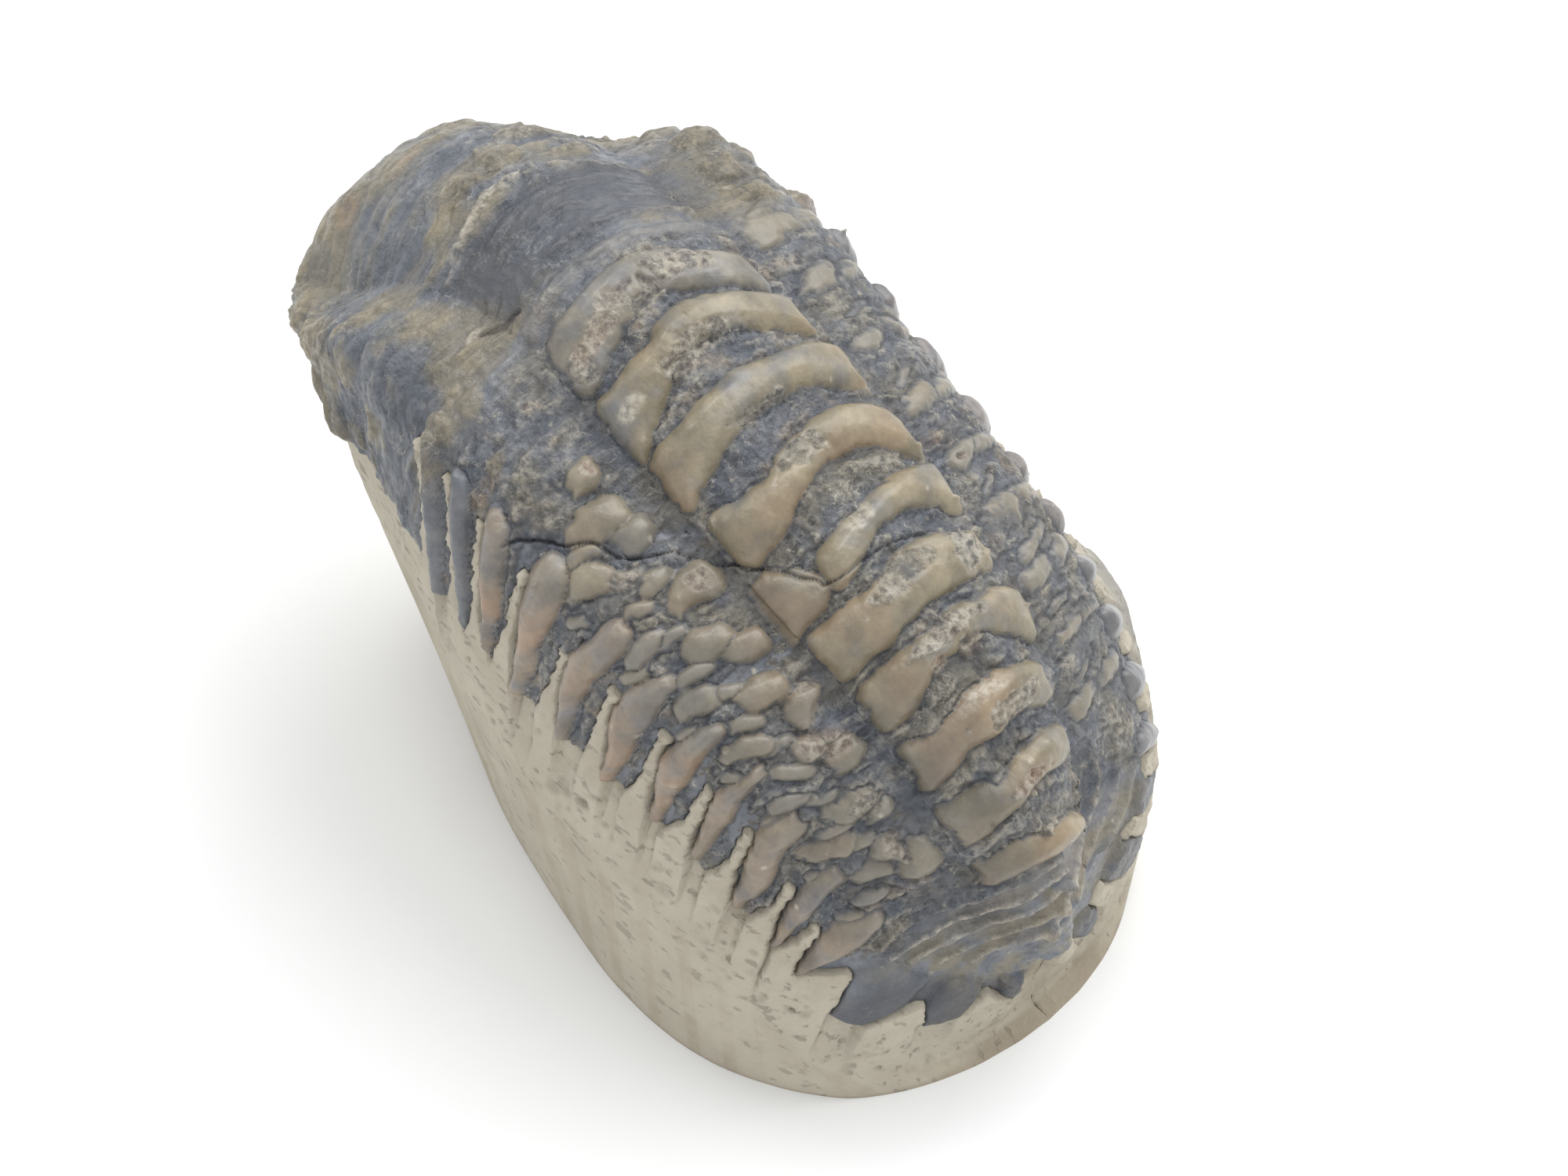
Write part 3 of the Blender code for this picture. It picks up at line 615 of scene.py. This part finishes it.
def tail_relief(skin):
    """Ridges of the tail shield and its colours."""
    lift = np.zeros(len(skin.row))
    for number, (height, half, pale, corners) in enumerate(TAIL_LINES):
        close = skin.line(corners, half)
        lift += height * close
        worn = ramp(fractal(skin.points, 1.6, 74 + number), -0.6, 0.2)
        skin.mark("calcite_and_sheen", pale * worn * ramp(close, 0.4, 1.0))
    brown = ramp(skin.row, 11.1, 11.5) * ramp(skin.row, 13.2, 12.6) * ramp(skin.lane, -1.5, -0.9)
    brown *= ramp(fractal(skin.points, 1.8, 73), -0.4, 0.3)
    skin.mark("mauve", 0.45 * brown * ramp(skin.lane, 1.8, 1.2))
    lappets = ramp(skin.row, 11.3, 12.0) * ramp(np.abs(skin.lane), 1.9, 2.4)
    skin.mark("hollow", lappets)
    tail = ramp(skin.row, 11.2, 11.8)
    skin.mark("crumb", 0.25 * tail)
    skin.mark("olive", 0.9 * tail * ramp(fractal(skin.flow, 1.6, 79, 4), -0.35, 0.3))
    lift += tail * (0.2 * fractal(skin.flow, 1.4, 78, 4) + 0.1 * fractal(skin.points, 2.5, 77))
    return lift


def crumbs(skin):
    """Unevenness of the filling between the raised parts."""
    pebbles = np.abs(fractal(skin.flow, 1.1, 22, 3)) * 2.4 - 0.5
    chips = np.abs(fractal(skin.points, 0.6, 28, 2)) * 2.4 - 0.5
    return 0.8 * fractal(skin.flow, 1.9, 21, 4) + 0.45 * pebbles + 0.25 * chips


def thorax_relief(skin, row, lane, tone):
    """Raised parts of the thorax, the filling between them, cracks and seams, with painted shade in the
    creases, the crack and the axial furrow.
    """
    w = np.abs(lane)
    thorax = ramp(skin.row, 0.9, 2.0) * ramp(skin.row, 11.6, 10.9)
    crumb = crumbs(skin)
    level = 0.34 * ramp(w, 1.12, 0.95) + 0.22 * ramp(w, 0.95, 1.12) - 0.14 * ramp(w, 1.9, 2.3)
    rough = 0.58 - 0.22 * ramp(lane, 0.9, 1.3) - 0.1 * ramp(lane, 1.6, 2.2)
    infill = (level + 0.2 * skin.cover + rough * crumb) * thorax
    over = skin.rise - infill
    # shaded_crease is the crease where raised parts meet the filling or each other; it is sunk a little and
    # painted dark as shade.
    shaded_crease = np.maximum(np.exp(-(over / 0.16) ** 2) * (skin.rise > 0), skin.touch_crease) * thorax
    worn = ramp(skin.cover + 0.5 * crumb, 0.4, 0.62) * (skin.rise > 0.2)
    lift = soft_max(skin.rise, infill, 0.1) - skin.cut + 0.4 * worn * crumb - 0.12 * shaded_crease
    crack = skin.line(LONG_CRACK, 0.075)
    lift -= 0.4 * crack
    stain = fractal(skin.points, 3.6, 26, 3)
    colour_thorax(skin, thorax, crumb, over, worn, tone, stain)
    # Painted shade in the creases round the raised parts and in the long crack.
    skin.mark("hollow", shaded_crease * np.clip(0.75 + 0.6 * tone, 0.2, 1), 0.8 * crack)
    for seam_row in RIGHT_SEAMS:
        close = skin.broken([(seam_row, 0.8), (seam_row, 1.12), (seam_row - 0.1, 1.3)], 0.16, 90)
        lift += 0.25 * close
        skin.mark("calcite_and_sheen", 0.8 * ramp(close, 0.3, 0.9))
    shade_and_rust(skin, row, lane, tone, stain)
    furrow = np.exp(-((np.abs(skin.lane) - 1.05) / 0.05) ** 2) * thorax
    # Painted shade in the axial furrow beside the rings.
    low_shade = furrow * np.clip(0.6 + tone, 0, 1)
    lift += 0.15 * np.exp(-np.abs(w - 1) / 0.07) * thorax - 0.15 * low_shade
    skin.mark("hollow", 0.6 * low_shade)
    return lift


def colour_thorax(skin, thorax, crumb, over, worn, tone, stain):
    """Polish on the raised parts; crumbs and pale grains between them, with painted shade in the low spots
    of the crumbs.
    """
    shown = np.maximum(ramp(over, -0.05, 0.2), worn) * (1 - 0.3 * worn)
    broken = np.maximum(ramp(over, 0.1, -0.05) * (1 - worn), 0.7 * worn) * thorax
    film = np.clip(0.95 + 0.7 * tone + 0.5 * stain, 0, 1)
    skin.shell = skin.shell * shown * film
    skin.mauve = skin.mauve * shown * film
    skin.olive = skin.olive * np.maximum(shown, 0.35)
    # Painted shade in the low parts of the crumbly filling.
    skin.mark("hollow", broken * (1 - worn) * ramp(crumb, 0.0, -0.7) * 0.75)
    skin.mark("crumb", broken)
    skin.mark("olive", broken * 0.7 * ramp(stain + 0.5 * tone, -0.2, 0.5))
    skin.mark("mauve", broken * 0.6 * ramp(tone - stain, 0.2, 0.8))
    pale = broken * ramp(crumb + 0.5 * tone, 0.0, 0.7) * (0.7 + 0.3 * skin.cover)
    skin.mark("calcite_and_sheen", pale, worn * ramp(crumb, -0.8, 0.2))


def shade_and_rust(skin, row, lane, tone, stain):
    """Rings darker toward their left ends and the tail; rust on shell and spines."""
    shade = (0.15 + 0.3 * ramp(row, 6.5, 9.0)) * ramp(lane, 0.1, -0.7)
    skin.mark("hollow", shade * skin.shell * ramp(row, 2.5, 3.5))
    spots = ramp(stain + 0.4 * tone, -0.3, 0.4) * ramp(row, 8.5, 6.0)
    skin.mark("rust", 0.35 * skin.shell * ramp(stain, 0.0, 0.6), 0.6 * skin.mauve * spots)


def fossil_skin(row, lane):
    """Height over the smooth body and the colour masks."""
    skin = Skin(row, lane)
    add_rings(skin)
    add_nodes(skin)
    add_spines(skin)
    add_lappets(skin)
    worn_places(skin)
    tone = fractal(skin.points, 1.3, 27, 4)
    lift = thorax_relief(skin, row, lane, tone)
    eye = np.exp(-((np.abs(lane) - 1.75) / 0.42) ** 2 - ((skin.row + 1.3) / 1.5) ** 2)
    lift += 1.3 * eye + head_relief(skin) + tail_relief(skin)
    for spot in CHALKY:
        skin.spread("calcite_and_sheen", *spot, 0.9, 0.9)
    specks = dots(skin.points, 0.75, 25, 0.09) * ramp(skin.row, 0.5, 1.5)
    skin.mark("calcite_and_sheen", ramp(specks + 0.2 * tone, 0.35, 0.65))
    lift += 0.06 * fractal(skin.points, 1.6, 31) + 0.05 * fractal(skin.points, 0.5, 32) + 0.05 * specks
    return lift, skin


# Where the fossil's edge sits in the rock, and its underside, in millimetres below the smooth body.
SEAT = -1.2
UNDERSIDE = -1.7
# Lane of the fossil's edge.
EDGE_LANE = 3.06


def fossil_point(column, row):
    """Skin of the fossil: over its top at columns 0 to 1 and back under it at 1 to 2."""
    over = column <= 1
    share = np.where(over, 2 * column - 1, 3 - 2 * column)
    lane = share * EDGE_LANE
    lift = np.full(len(row), UNDERSIDE)
    masks = {name: np.zeros(len(row)) for name in MASKS}
    top, skin = fossil_skin(row[over], lane[over])
    per_row, per_lane = stretch(row[over], lane[over])
    finger = finger_share(row[over], lane[over], per_row, per_lane)
    top = top + (SEAT - top) * finger
    lift[over] = top + (SEAT - top) * ramp(np.abs(lane[over]), 2.96, 3.05)
    lift = SEAT + (lift - SEAT) * ramp(row, -5.0, -4.6) * ramp(row, 14.9, 14.3)
    for name in MASKS:
        masks[name][over] = getattr(skin, name)
    return plain_surface(row, lane) + outward(row, lane) * lift[:, None], masks


# Heights of the block in millimetres over the smooth body: under the fossil, how far its fingers rise
# from there, beside the spine tips, at its first row and at its other rims.
POCKET = -1.45
FINGER_RISE = 1.95
SHELF = -0.25
HEAD_RIM = -1.4
RIM = -0.45


def rock_shape(lane, row, finger, ends):
    """Even skin of the block: under the fossil, over the ridge and down to the foot."""
    w = np.abs(lane)
    side = np.sign(lane)
    inner = np.clip(lane, -3, 3)
    body, normal = plain_surface(row, inner), outward(row, inner)
    chips = fractal(body, 1.0, 63, 4)
    lift = POCKET + (FINGER_RISE + 0.35 * chips) * finger
    lift = lift + (SHELF + 0.3 * chips - lift) * ramp(w, 2.9, 3.02) * (1 - finger)
    rim = np.where(row < 0, HEAD_RIM, RIM)
    lift = rim + (lift - rim) * ends
    top = body + normal * lift[:, None]
    out = np.where(lane > 0, smooth(row, RIDGE_ROWS, 3), smooth(row, RIDGE_ROWS, 1))
    back = 0.4 * out * ramp(row, 9, 14)
    ridge = body + normal * RIM + np.stack([back, side * out, -smooth(row, RIDGE_ROWS, 2)], -1)
    half = np.where(lane > 0, smooth(row, FOOT_ROWS, 3), smooth(row, FOOT_ROWS, 2))
    foot = np.stack([smooth(row, FOOT_ROWS, 1), side * half, np.full(len(row), -FOOT_DEPTH)], -1)
    t = np.clip(w - 3, 0, 1)[:, None]
    band = top + (ridge - top) * t
    t = np.clip(w - 4, 0, 1)[:, None]
    wall = ridge + (foot - ridge) * t
    points = np.where((w <= 4)[:, None], band, wall)
    reach = (0.06 + 0.22 * ramp(row, 10.5, 12.5))[:, None]
    t = np.clip((w[:, None] - 4 + reach) / (2 * reach), 0, 1)
    first, last = ridge + (top - ridge) * reach, ridge + (foot - ridge) * reach
    corner = (1 - t) ** 2 * first + 2 * t * (1 - t) * ridge + t * t * last
    return np.where(np.abs(w[:, None] - 4) < reach, corner, points)


def rock_point(lane, row):
    """Skin of the block with its pits and colour masks."""
    w = np.abs(lane)
    inner = np.clip(lane, -3, 3)
    finger = finger_share(row, inner, *stretch(row, inner), 0.14)
    ends = ramp(row, -6.0, -5.2) * ramp(row, 15.0, 14.5)
    points = rock_shape(lane, row, finger, ends)
    rough = ramp(w, 2.97, 3.08) * ramp(w, 4.3, 3.95) * ends
    bumps, pits = rock_bumps(points, w, rough)
    bumps *= ends
    out_way = np.stack([0 * row, np.sign(lane), 0.5 + 0 * row], -1)
    out_way /= np.linalg.norm(out_way, axis=-1, keepdims=True)
    points = points + out_way * bumps[:, None]
    cloud = 1.2 * fractal(points, 7.0, 68, 4)
    grey = 0.65 * ramp(lane, 3.0, 4.0) * ramp(row + cloud, 3.6, 5.6) * ramp(row + cloud, 11.2, 9.4)
    masks = {
        # Painted shade in the pits of the rough band.
        "hollow": pits * rough,
        "band": np.maximum(rough, finger * 0.8),
        "grey": grey,
        # Painted shade along the foot where the block meets the floor.
        "foot": ramp(points[:, 2], 0.4 - FOOT_DEPTH, -FOOT_DEPTH) * (w > 4),
    }
    return points, masks


def rock_bumps(points, w, rough):
    """Unevenness of the wall and the share of pits in it."""
    deep = dots(points * [0.6, 1.0, 1.0], 1.1, 71, 0.3) ** 0.7
    small = dots(points * [0.6, 1.0, 1.0], 0.5, 75, 0.35) ** 0.7
    pits = np.clip(deep + 0.6 * small, 0, 1) * ramp(fractal(points, 3.5, 77), -0.35, 0.1)
    bumps = (0.42 * fractal(points, 2.4, 61, 5) - 0.45 * pits) * rough + 0.1 * fractal(points, 6.0, 66, 3)
    bumps -= 0.25 * ramp(dots(points, 2.4, 78, 0.1), 0.5, 0.9) * ramp(w, 4.0, 4.2)
    return bumps, pits


def cap_end(bm, line, turn):
    """Close one end of a skin whose line of points runs over it to turn and back under it."""
    last = len(line) - 1
    under = [last - int(round(k / turn * (last - turn))) for k in range(turn + 1)]
    for k in range(turn):
        a, b, c, d = line[k], line[k + 1], line[under[k + 1]], line[under[k]]
        if b is not d:
            bm.faces.new([a, b, d])
        if c is not d and b is not c:
            bm.faces.new([b, c, d])


def sharpen(faces):
    """Make all edges of some faces sharp."""
    for face in faces:
        for edge in face.edges:
            edge.smooth = False


def plain_grid(name, across, along, size):
    bm = bmesh.new()
    bmesh.ops.create_grid(bm, x_segments=across, y_segments=along, size=size)
    mesh = bpy.data.meshes.new(name)
    bm.to_mesh(mesh)
    bm.free()
    return mesh


def shaped_grid(name, columns, rows, place):
    """A grid whose points go where place says, and the number of the point at each column and row."""
    across, along = len(columns) - 1, len(rows) - 1
    mesh = plain_grid(name, across, along, 1)
    flat = np.empty(len(mesh.vertices) * 3, np.float32)
    mesh.vertices.foreach_get("co", flat)
    flat = flat.reshape(-1, 3)
    i = np.rint((flat[:, 0] + 1) / 2 * across).astype(int)
    j = np.rint((flat[:, 1] + 1) / 2 * along).astype(int)
    points, masks = place(np.array(columns)[i], np.array(rows)[j])
    points = (points - SHIFT) * MM
    mesh.vertices.foreach_set("co", points.astype(np.float32).ravel())
    for key, values in masks.items():
        layer = mesh.attributes.new(key, "FLOAT", "POINT")
        layer.data.foreach_set("value", values.astype(np.float32))
    order = np.empty((across + 1, along + 1), int)
    order[i, j] = np.arange(len(i))
    return mesh, order


def close_skin(mesh, order, turn, caps):
    """Cap the ends of a skin, join the edges that meet and fill what stays open."""
    bm = bmesh.new()
    bm.from_mesh(mesh)
    bm.verts.ensure_lookup_table()
    plain_faces = set(bm.faces)
    for end in caps:
        cap_end(bm, [bm.verts[index] for index in order[:, end]], turn)
    sharpen([face for face in bm.faces if face not in plain_faces])
    bmesh.ops.remove_doubles(bm, verts=bm.verts, dist=1e-6)
    filled = bmesh.ops.holes_fill(bm, edges=[e for e in bm.edges if e.is_boundary])["faces"]
    sharpen(filled)
    bmesh.ops.triangulate(bm, faces=filled)
    bmesh.ops.recalc_face_normals(bm, faces=bm.faces)
    bm.to_mesh(mesh)
    bm.free()


def add_object(name, data):
    made = bpy.data.objects.new(name, data)
    bpy.context.scene.collection.objects.link(made)
    return made


def woven(name, columns, rows, place, material, turn=0, caps=()):
    """A closed skin; turn is the column where it goes under, caps are its closed ends."""
    mesh, order = shaped_grid(name, columns, rows, place)
    close_skin(mesh, order, turn, caps)
    mesh.shade_smooth()
    mesh.materials.append(material)
    return add_object(name, mesh)


def node(tree, kind, **inputs):
    """A shader node; inputs are numbers, colours or sockets to link from."""
    made = tree.nodes.new(kind)
    for key, value in inputs.items():
        key = key.replace("_", " ")
        socket = made.inputs[int(key)] if key.isdigit() else made.inputs[key]
        if isinstance(value, bpy.types.NodeSocket):
            tree.links.new(value, socket)
        else:
            socket.default_value = value
    return made


def attribute(tree, name):
    made = tree.nodes.new("ShaderNodeAttribute")
    made.attribute_name = name
    return made.outputs["Fac"]


def blend(tree, share, below, above):
    """Colour above laid over colour below where share says."""
    made = tree.nodes.new("ShaderNodeMix")
    made.data_type = "RGBA"
    for index, value in ((0, share), (6, below), (7, above)):
        if isinstance(value, bpy.types.NodeSocket):
            tree.links.new(value, made.inputs[index])
        else:
            made.inputs[index].default_value = value if index == 0 else (*value, 1)
    return made.outputs[2]


def rescaled(tree, share, low, high):
    """A share stretched so that low becomes 0 and high becomes 1."""
    return node(tree, "ShaderNodeMapRange", Value=share, From_Min=low, From_Max=high).outputs[0]


def product(tree, first, second):
    made = node(tree, "ShaderNodeMath", **{"0": first, "1": second})
    made.operation = "MULTIPLY"
    return made.outputs[0]


def cloud(tree, place, scale, detail, roughness=0.5):
    made = node(tree, "ShaderNodeTexNoise", Vector=place, Scale=scale, Detail=detail, Roughness=roughness)
    return made.outputs["Fac"]


def layered(tree, colour, layers):
    """Layers of share, strength and colour laid over a colour one after the other."""
    for share, strength, paint in layers:
        colour = blend(tree, product(tree, share, strength), colour, paint)
    return colour


def threads(tree, place, scale, width):
    """Thin wandering lines: 1 on the line, 0 beside it."""
    field = cloud(tree, place, scale, 3.0, 0.6)
    offset = node(tree, "ShaderNodeMath", **{"0": field, "1": 0.5})
    offset.operation = "SUBTRACT"
    size = node(tree, "ShaderNodeMath", **{"0": offset.outputs[0]})
    size.operation = "ABSOLUTE"
    return rescaled(tree, size.outputs[0], width, width * 0.35)


def new_material(name):
    """A material, its node tree, its shader and the place on the object."""
    made = bpy.data.materials.new(name)
    made.use_nodes = True
    tree = made.node_tree
    place = tree.nodes.new("ShaderNodeTexCoord").outputs["Object"]
    return made, tree, tree.nodes["Principled BSDF"], place


def dress_shader(tree, shader, colour, relief, strength, depth):
    """Link a colour and a fine relief to the shader."""
    tree.links.new(colour, shader.inputs["Base Color"])
    bump = node(tree, "ShaderNodeBump", Height=relief, Strength=strength, Distance=depth)
    tree.links.new(bump.outputs["Normal"], shader.inputs["Normal"])


def fossil_colour(tree, place, crumb, fine):
    """Slate ground, tan shell, brown spines, pale grains, dark slate, and painted shade in creases and in
    the low grains of the filling.
    """
    patchy = rescaled(tree, cloud(tree, place, 420.0, 6.0, 0.6), 0.36, 0.64)
    grit = rescaled(tree, fine, 0.38, 0.62)
    purple = blend(tree, patchy, (0.19, 0.156, 0.116), (0.305, 0.24, 0.174))
    tan = blend(tree, patchy, (0.186, 0.156, 0.1), (0.298, 0.25, 0.164))
    gate = rescaled(tree, cloud(tree, place, 350.0, 2.0), 0.49, 0.62)
    lines = product(tree, threads(tree, place, 620.0, 0.012), gate)
    shade = product(tree, rescaled(tree, fine, 0.52, 0.36), rescaled(tree, crumb, -0.35, 1.0))
    ground = blend(tree, patchy, (0.09, 0.102, 0.125), (0.186, 0.197, 0.216))
    return layered(tree, ground, [
        (attribute(tree, "olive"), 1.0, (0.22, 0.193, 0.138)),
        (attribute(tree, "mauve"), 1.0, purple),
        (attribute(tree, "shell"), 1.0, tan),
        (attribute(tree, "rust"), 0.6, (0.38, 0.2, 0.1)),
        (attribute(tree, "calcite_and_sheen"), grit, (0.44, 0.4, 0.325)),
        # Dark slate layer: the fossil's own dark parts and painted shade in creases, cracks and hollows.
        (attribute(tree, "hollow"), 0.82, (0.046, 0.051, 0.064)),
        (product(tree, lines, crumb), 0.7, (0.5, 0.46, 0.38)),
        # Painted shade in the low grains of the crumbly filling.
        (shade, 0.55, (0.05, 0.052, 0.058)),
    ])


def fossil_material():
    made, tree, shader, place = new_material("fossil_shell")
    fine = cloud(tree, place, 1900.0, 5.0, 0.65)
    crumb = attribute(tree, "crumb")
    colour = fossil_colour(tree, place, crumb, fine)
    dull = node(tree, "ShaderNodeMapRange", Value=crumb, To_Min=0.34, To_Max=0.58)
    tree.links.new(dull.outputs[0], shader.inputs["Roughness"])
    shader.inputs["Coat Weight"].default_value = 0.25
    shader.inputs["Coat Roughness"].default_value = 0.18
    relief = blend(tree, rescaled(tree, crumb, -0.15, 1.0), (0.5, 0.5, 0.5), fine)
    dress_shader(tree, shader, colour, relief, 0.9, 0.0007)
    return made


def limestone_material():
    made, tree, shader, place = new_material("limestone")
    band = attribute(tree, "band")
    patchy = rescaled(tree, cloud(tree, place, 220.0, 8.0, 0.65), 0.36, 0.64)
    stretched = node(tree, "ShaderNodeMapping", Vector=place, Scale=(650.0, 1500.0, 1500.0))
    dashes = cloud(tree, stretched.outputs[0], 1.0, 3.0)
    # Painted shade in the small holes of the rough band, which the bump also sinks.
    shaded_holes = product(tree, rescaled(tree, dashes, 0.39, 0.33), band)
    ground = blend(tree, patchy, (0.375, 0.33, 0.255), (0.47, 0.425, 0.335))
    colour = layered(tree, ground, [
        (band, 0.35, (0.52, 0.48, 0.4)),
        (attribute(tree, "grey"), 1.0, (0.195, 0.2, 0.2)),
        # The foot layer is painted shade where the block meets the floor; the next two layers are painted
        # shade in the pits and holes.
        (attribute(tree, "foot"), 0.5, (0.26, 0.2, 0.14)),
        (attribute(tree, "hollow"), 0.5, (0.19, 0.16, 0.12)),
        (shaded_holes, 0.5, (0.17, 0.145, 0.11)),
        (rescaled(tree, dashes, 0.46, 0.3), 0.15, (0.25, 0.21, 0.16)),
    ])
    shader.inputs["Roughness"].default_value = 0.8
    relief = blend(tree, shaded_holes, cloud(tree, place, 1500.0, 6.0, 0.65), (0.0, 0.0, 0.0))
    dress_shader(tree, shader, colour, relief, 0.6, 0.0003)
    return made


def plain_material(name, colour, roughness):
    made = bpy.data.materials.new(name)
    made.use_nodes = True
    shader = made.node_tree.nodes["Principled BSDF"]
    shader.inputs["Base Color"].default_value = (*colour, 1)
    shader.inputs["Roughness"].default_value = roughness
    return made


def make_fossil(material):
    over = np.linspace(0, 1, 381)
    under = np.linspace(1, 2, 15)[1:]
    columns = np.concatenate([over, under])
    step = 0.026
    for name, first, last, caps in (
        ("cephalon", -5.0, 0.5, [-1]), ("thorax_front", 0.5, 4.5, [0, -1]),
        ("thorax_middle", 4.5, 8.5, [0, -1]), ("thorax_rear", 8.5, 11.5, [0, -1]),
        ("pygidium", 11.5, 14.95, [0]),
    ):
        rows = np.linspace(first, last, int(round((last - first) / step)) + 1)
        piece = woven(name, columns, rows, fossil_point, material, len(over) - 1, caps)
        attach(piece, "root")
        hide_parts("trilobite")


def half_lanes(on_top, on_ledge, on_wall):
    """Lanes of one side of the block with the number of points in each part."""
    top = np.linspace(1.9, 3.05, on_top)
    ledge = np.linspace(3.05, 4.05, on_ledge)
    wall = np.linspace(4.05, 5.0, on_wall)
    return np.concatenate([top, ledge[1:], wall[1:]])


def make_rock(material):
    hidden = [-1.5, -1.15, -0.7, 0.7, 1.15, 1.5]
    lanes = np.concatenate([-half_lanes(40, 29, 42)[::-1], hidden, half_lanes(26, 20, 30)])
    rows = np.linspace(-6, 15, 501)
    piece = woven("matrix_block", lanes, rows, rock_point, material)
    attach(piece, "root")
    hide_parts("matrix")


# Floor and light, in metres and watts; each lamp: name, place, width, height, power.
FLOOR_HALF = 1.5
PAPER = (0.86, 0.86, 0.85)
SKY = (0.97, 0.985, 1.0)
SKY_STRENGTH = 0.98
LAMPS = [
    ("softbox", (-0.02, 0.3, 0.46), 0.55, 0.45, 2.2),
    ("window", (-0.22, 0.02, 0.5), 0.1, 0.1, 0.35),
]
LAMP_AIM = Vector((0, 0, 0.02))


def make_floor():
    mesh = plain_grid("floor", 8, 8, FLOOR_HALF)
    mesh.materials.append(plain_material("floor_paper", PAPER, 0.9))
    floor = add_object("floor", mesh)


def add_lamp(name, place, width, height, energy):
    lamp = bpy.data.lights.new(name, "AREA")
    lamp.shape = "RECTANGLE"
    lamp.size = width
    lamp.size_y = height
    lamp.energy = energy
    light = add_object(name, lamp)
    light.location = place
    light.rotation_mode = "QUATERNION"
    light.rotation_quaternion = (LAMP_AIM - light.location).to_track_quat("-Z", "Y")


def make_light():
    world = bpy.data.worlds.new("studio")
    world.use_nodes = True
    background = world.node_tree.nodes["Background"]
    background.inputs["Color"].default_value = (*SKY, 1)
    background.inputs["Strength"].default_value = SKY_STRENGTH
    bpy.context.scene.world = world
    for lamp in LAMPS:
        add_lamp(*lamp)


def make_camera():
    azimuth, elevation = np.radians(CAMERA_AZIMUTH), np.radians(CAMERA_ELEVATION)
    right = Vector((np.cos(azimuth), np.sin(azimuth), 0))
    level = np.cos(elevation)
    back = Vector((np.sin(azimuth) * level, -np.cos(azimuth) * level, np.sin(elevation)))
    up = back.cross(right)
    data = bpy.data.cameras.new("camera")
    data.lens = CAMERA_LENS
    data.sensor_width = 36.0
    data.clip_start = 0.01
    data.clip_end = 10.0
    camera = add_object("camera", data)
    place = right * CAMERA_RIGHT + up * CAMERA_UP + back * CAMERA_BACK
    turn = Matrix((right, up, back)).transposed().to_4x4()
    turn.translation = (place - Vector(SHIFT)) * MM
    camera.matrix_world = turn
    bpy.context.scene.camera = camera


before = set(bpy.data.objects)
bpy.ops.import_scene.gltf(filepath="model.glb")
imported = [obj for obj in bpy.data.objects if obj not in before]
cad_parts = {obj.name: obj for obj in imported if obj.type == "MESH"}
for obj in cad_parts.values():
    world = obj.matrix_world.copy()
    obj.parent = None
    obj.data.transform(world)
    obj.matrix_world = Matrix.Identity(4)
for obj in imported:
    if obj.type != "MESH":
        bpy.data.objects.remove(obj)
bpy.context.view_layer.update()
bpy.context.scene.view_settings.view_transform = "Standard"
make_camera()
make_light()
make_floor()
make_fossil(fossil_material())
make_rock(limestone_material())
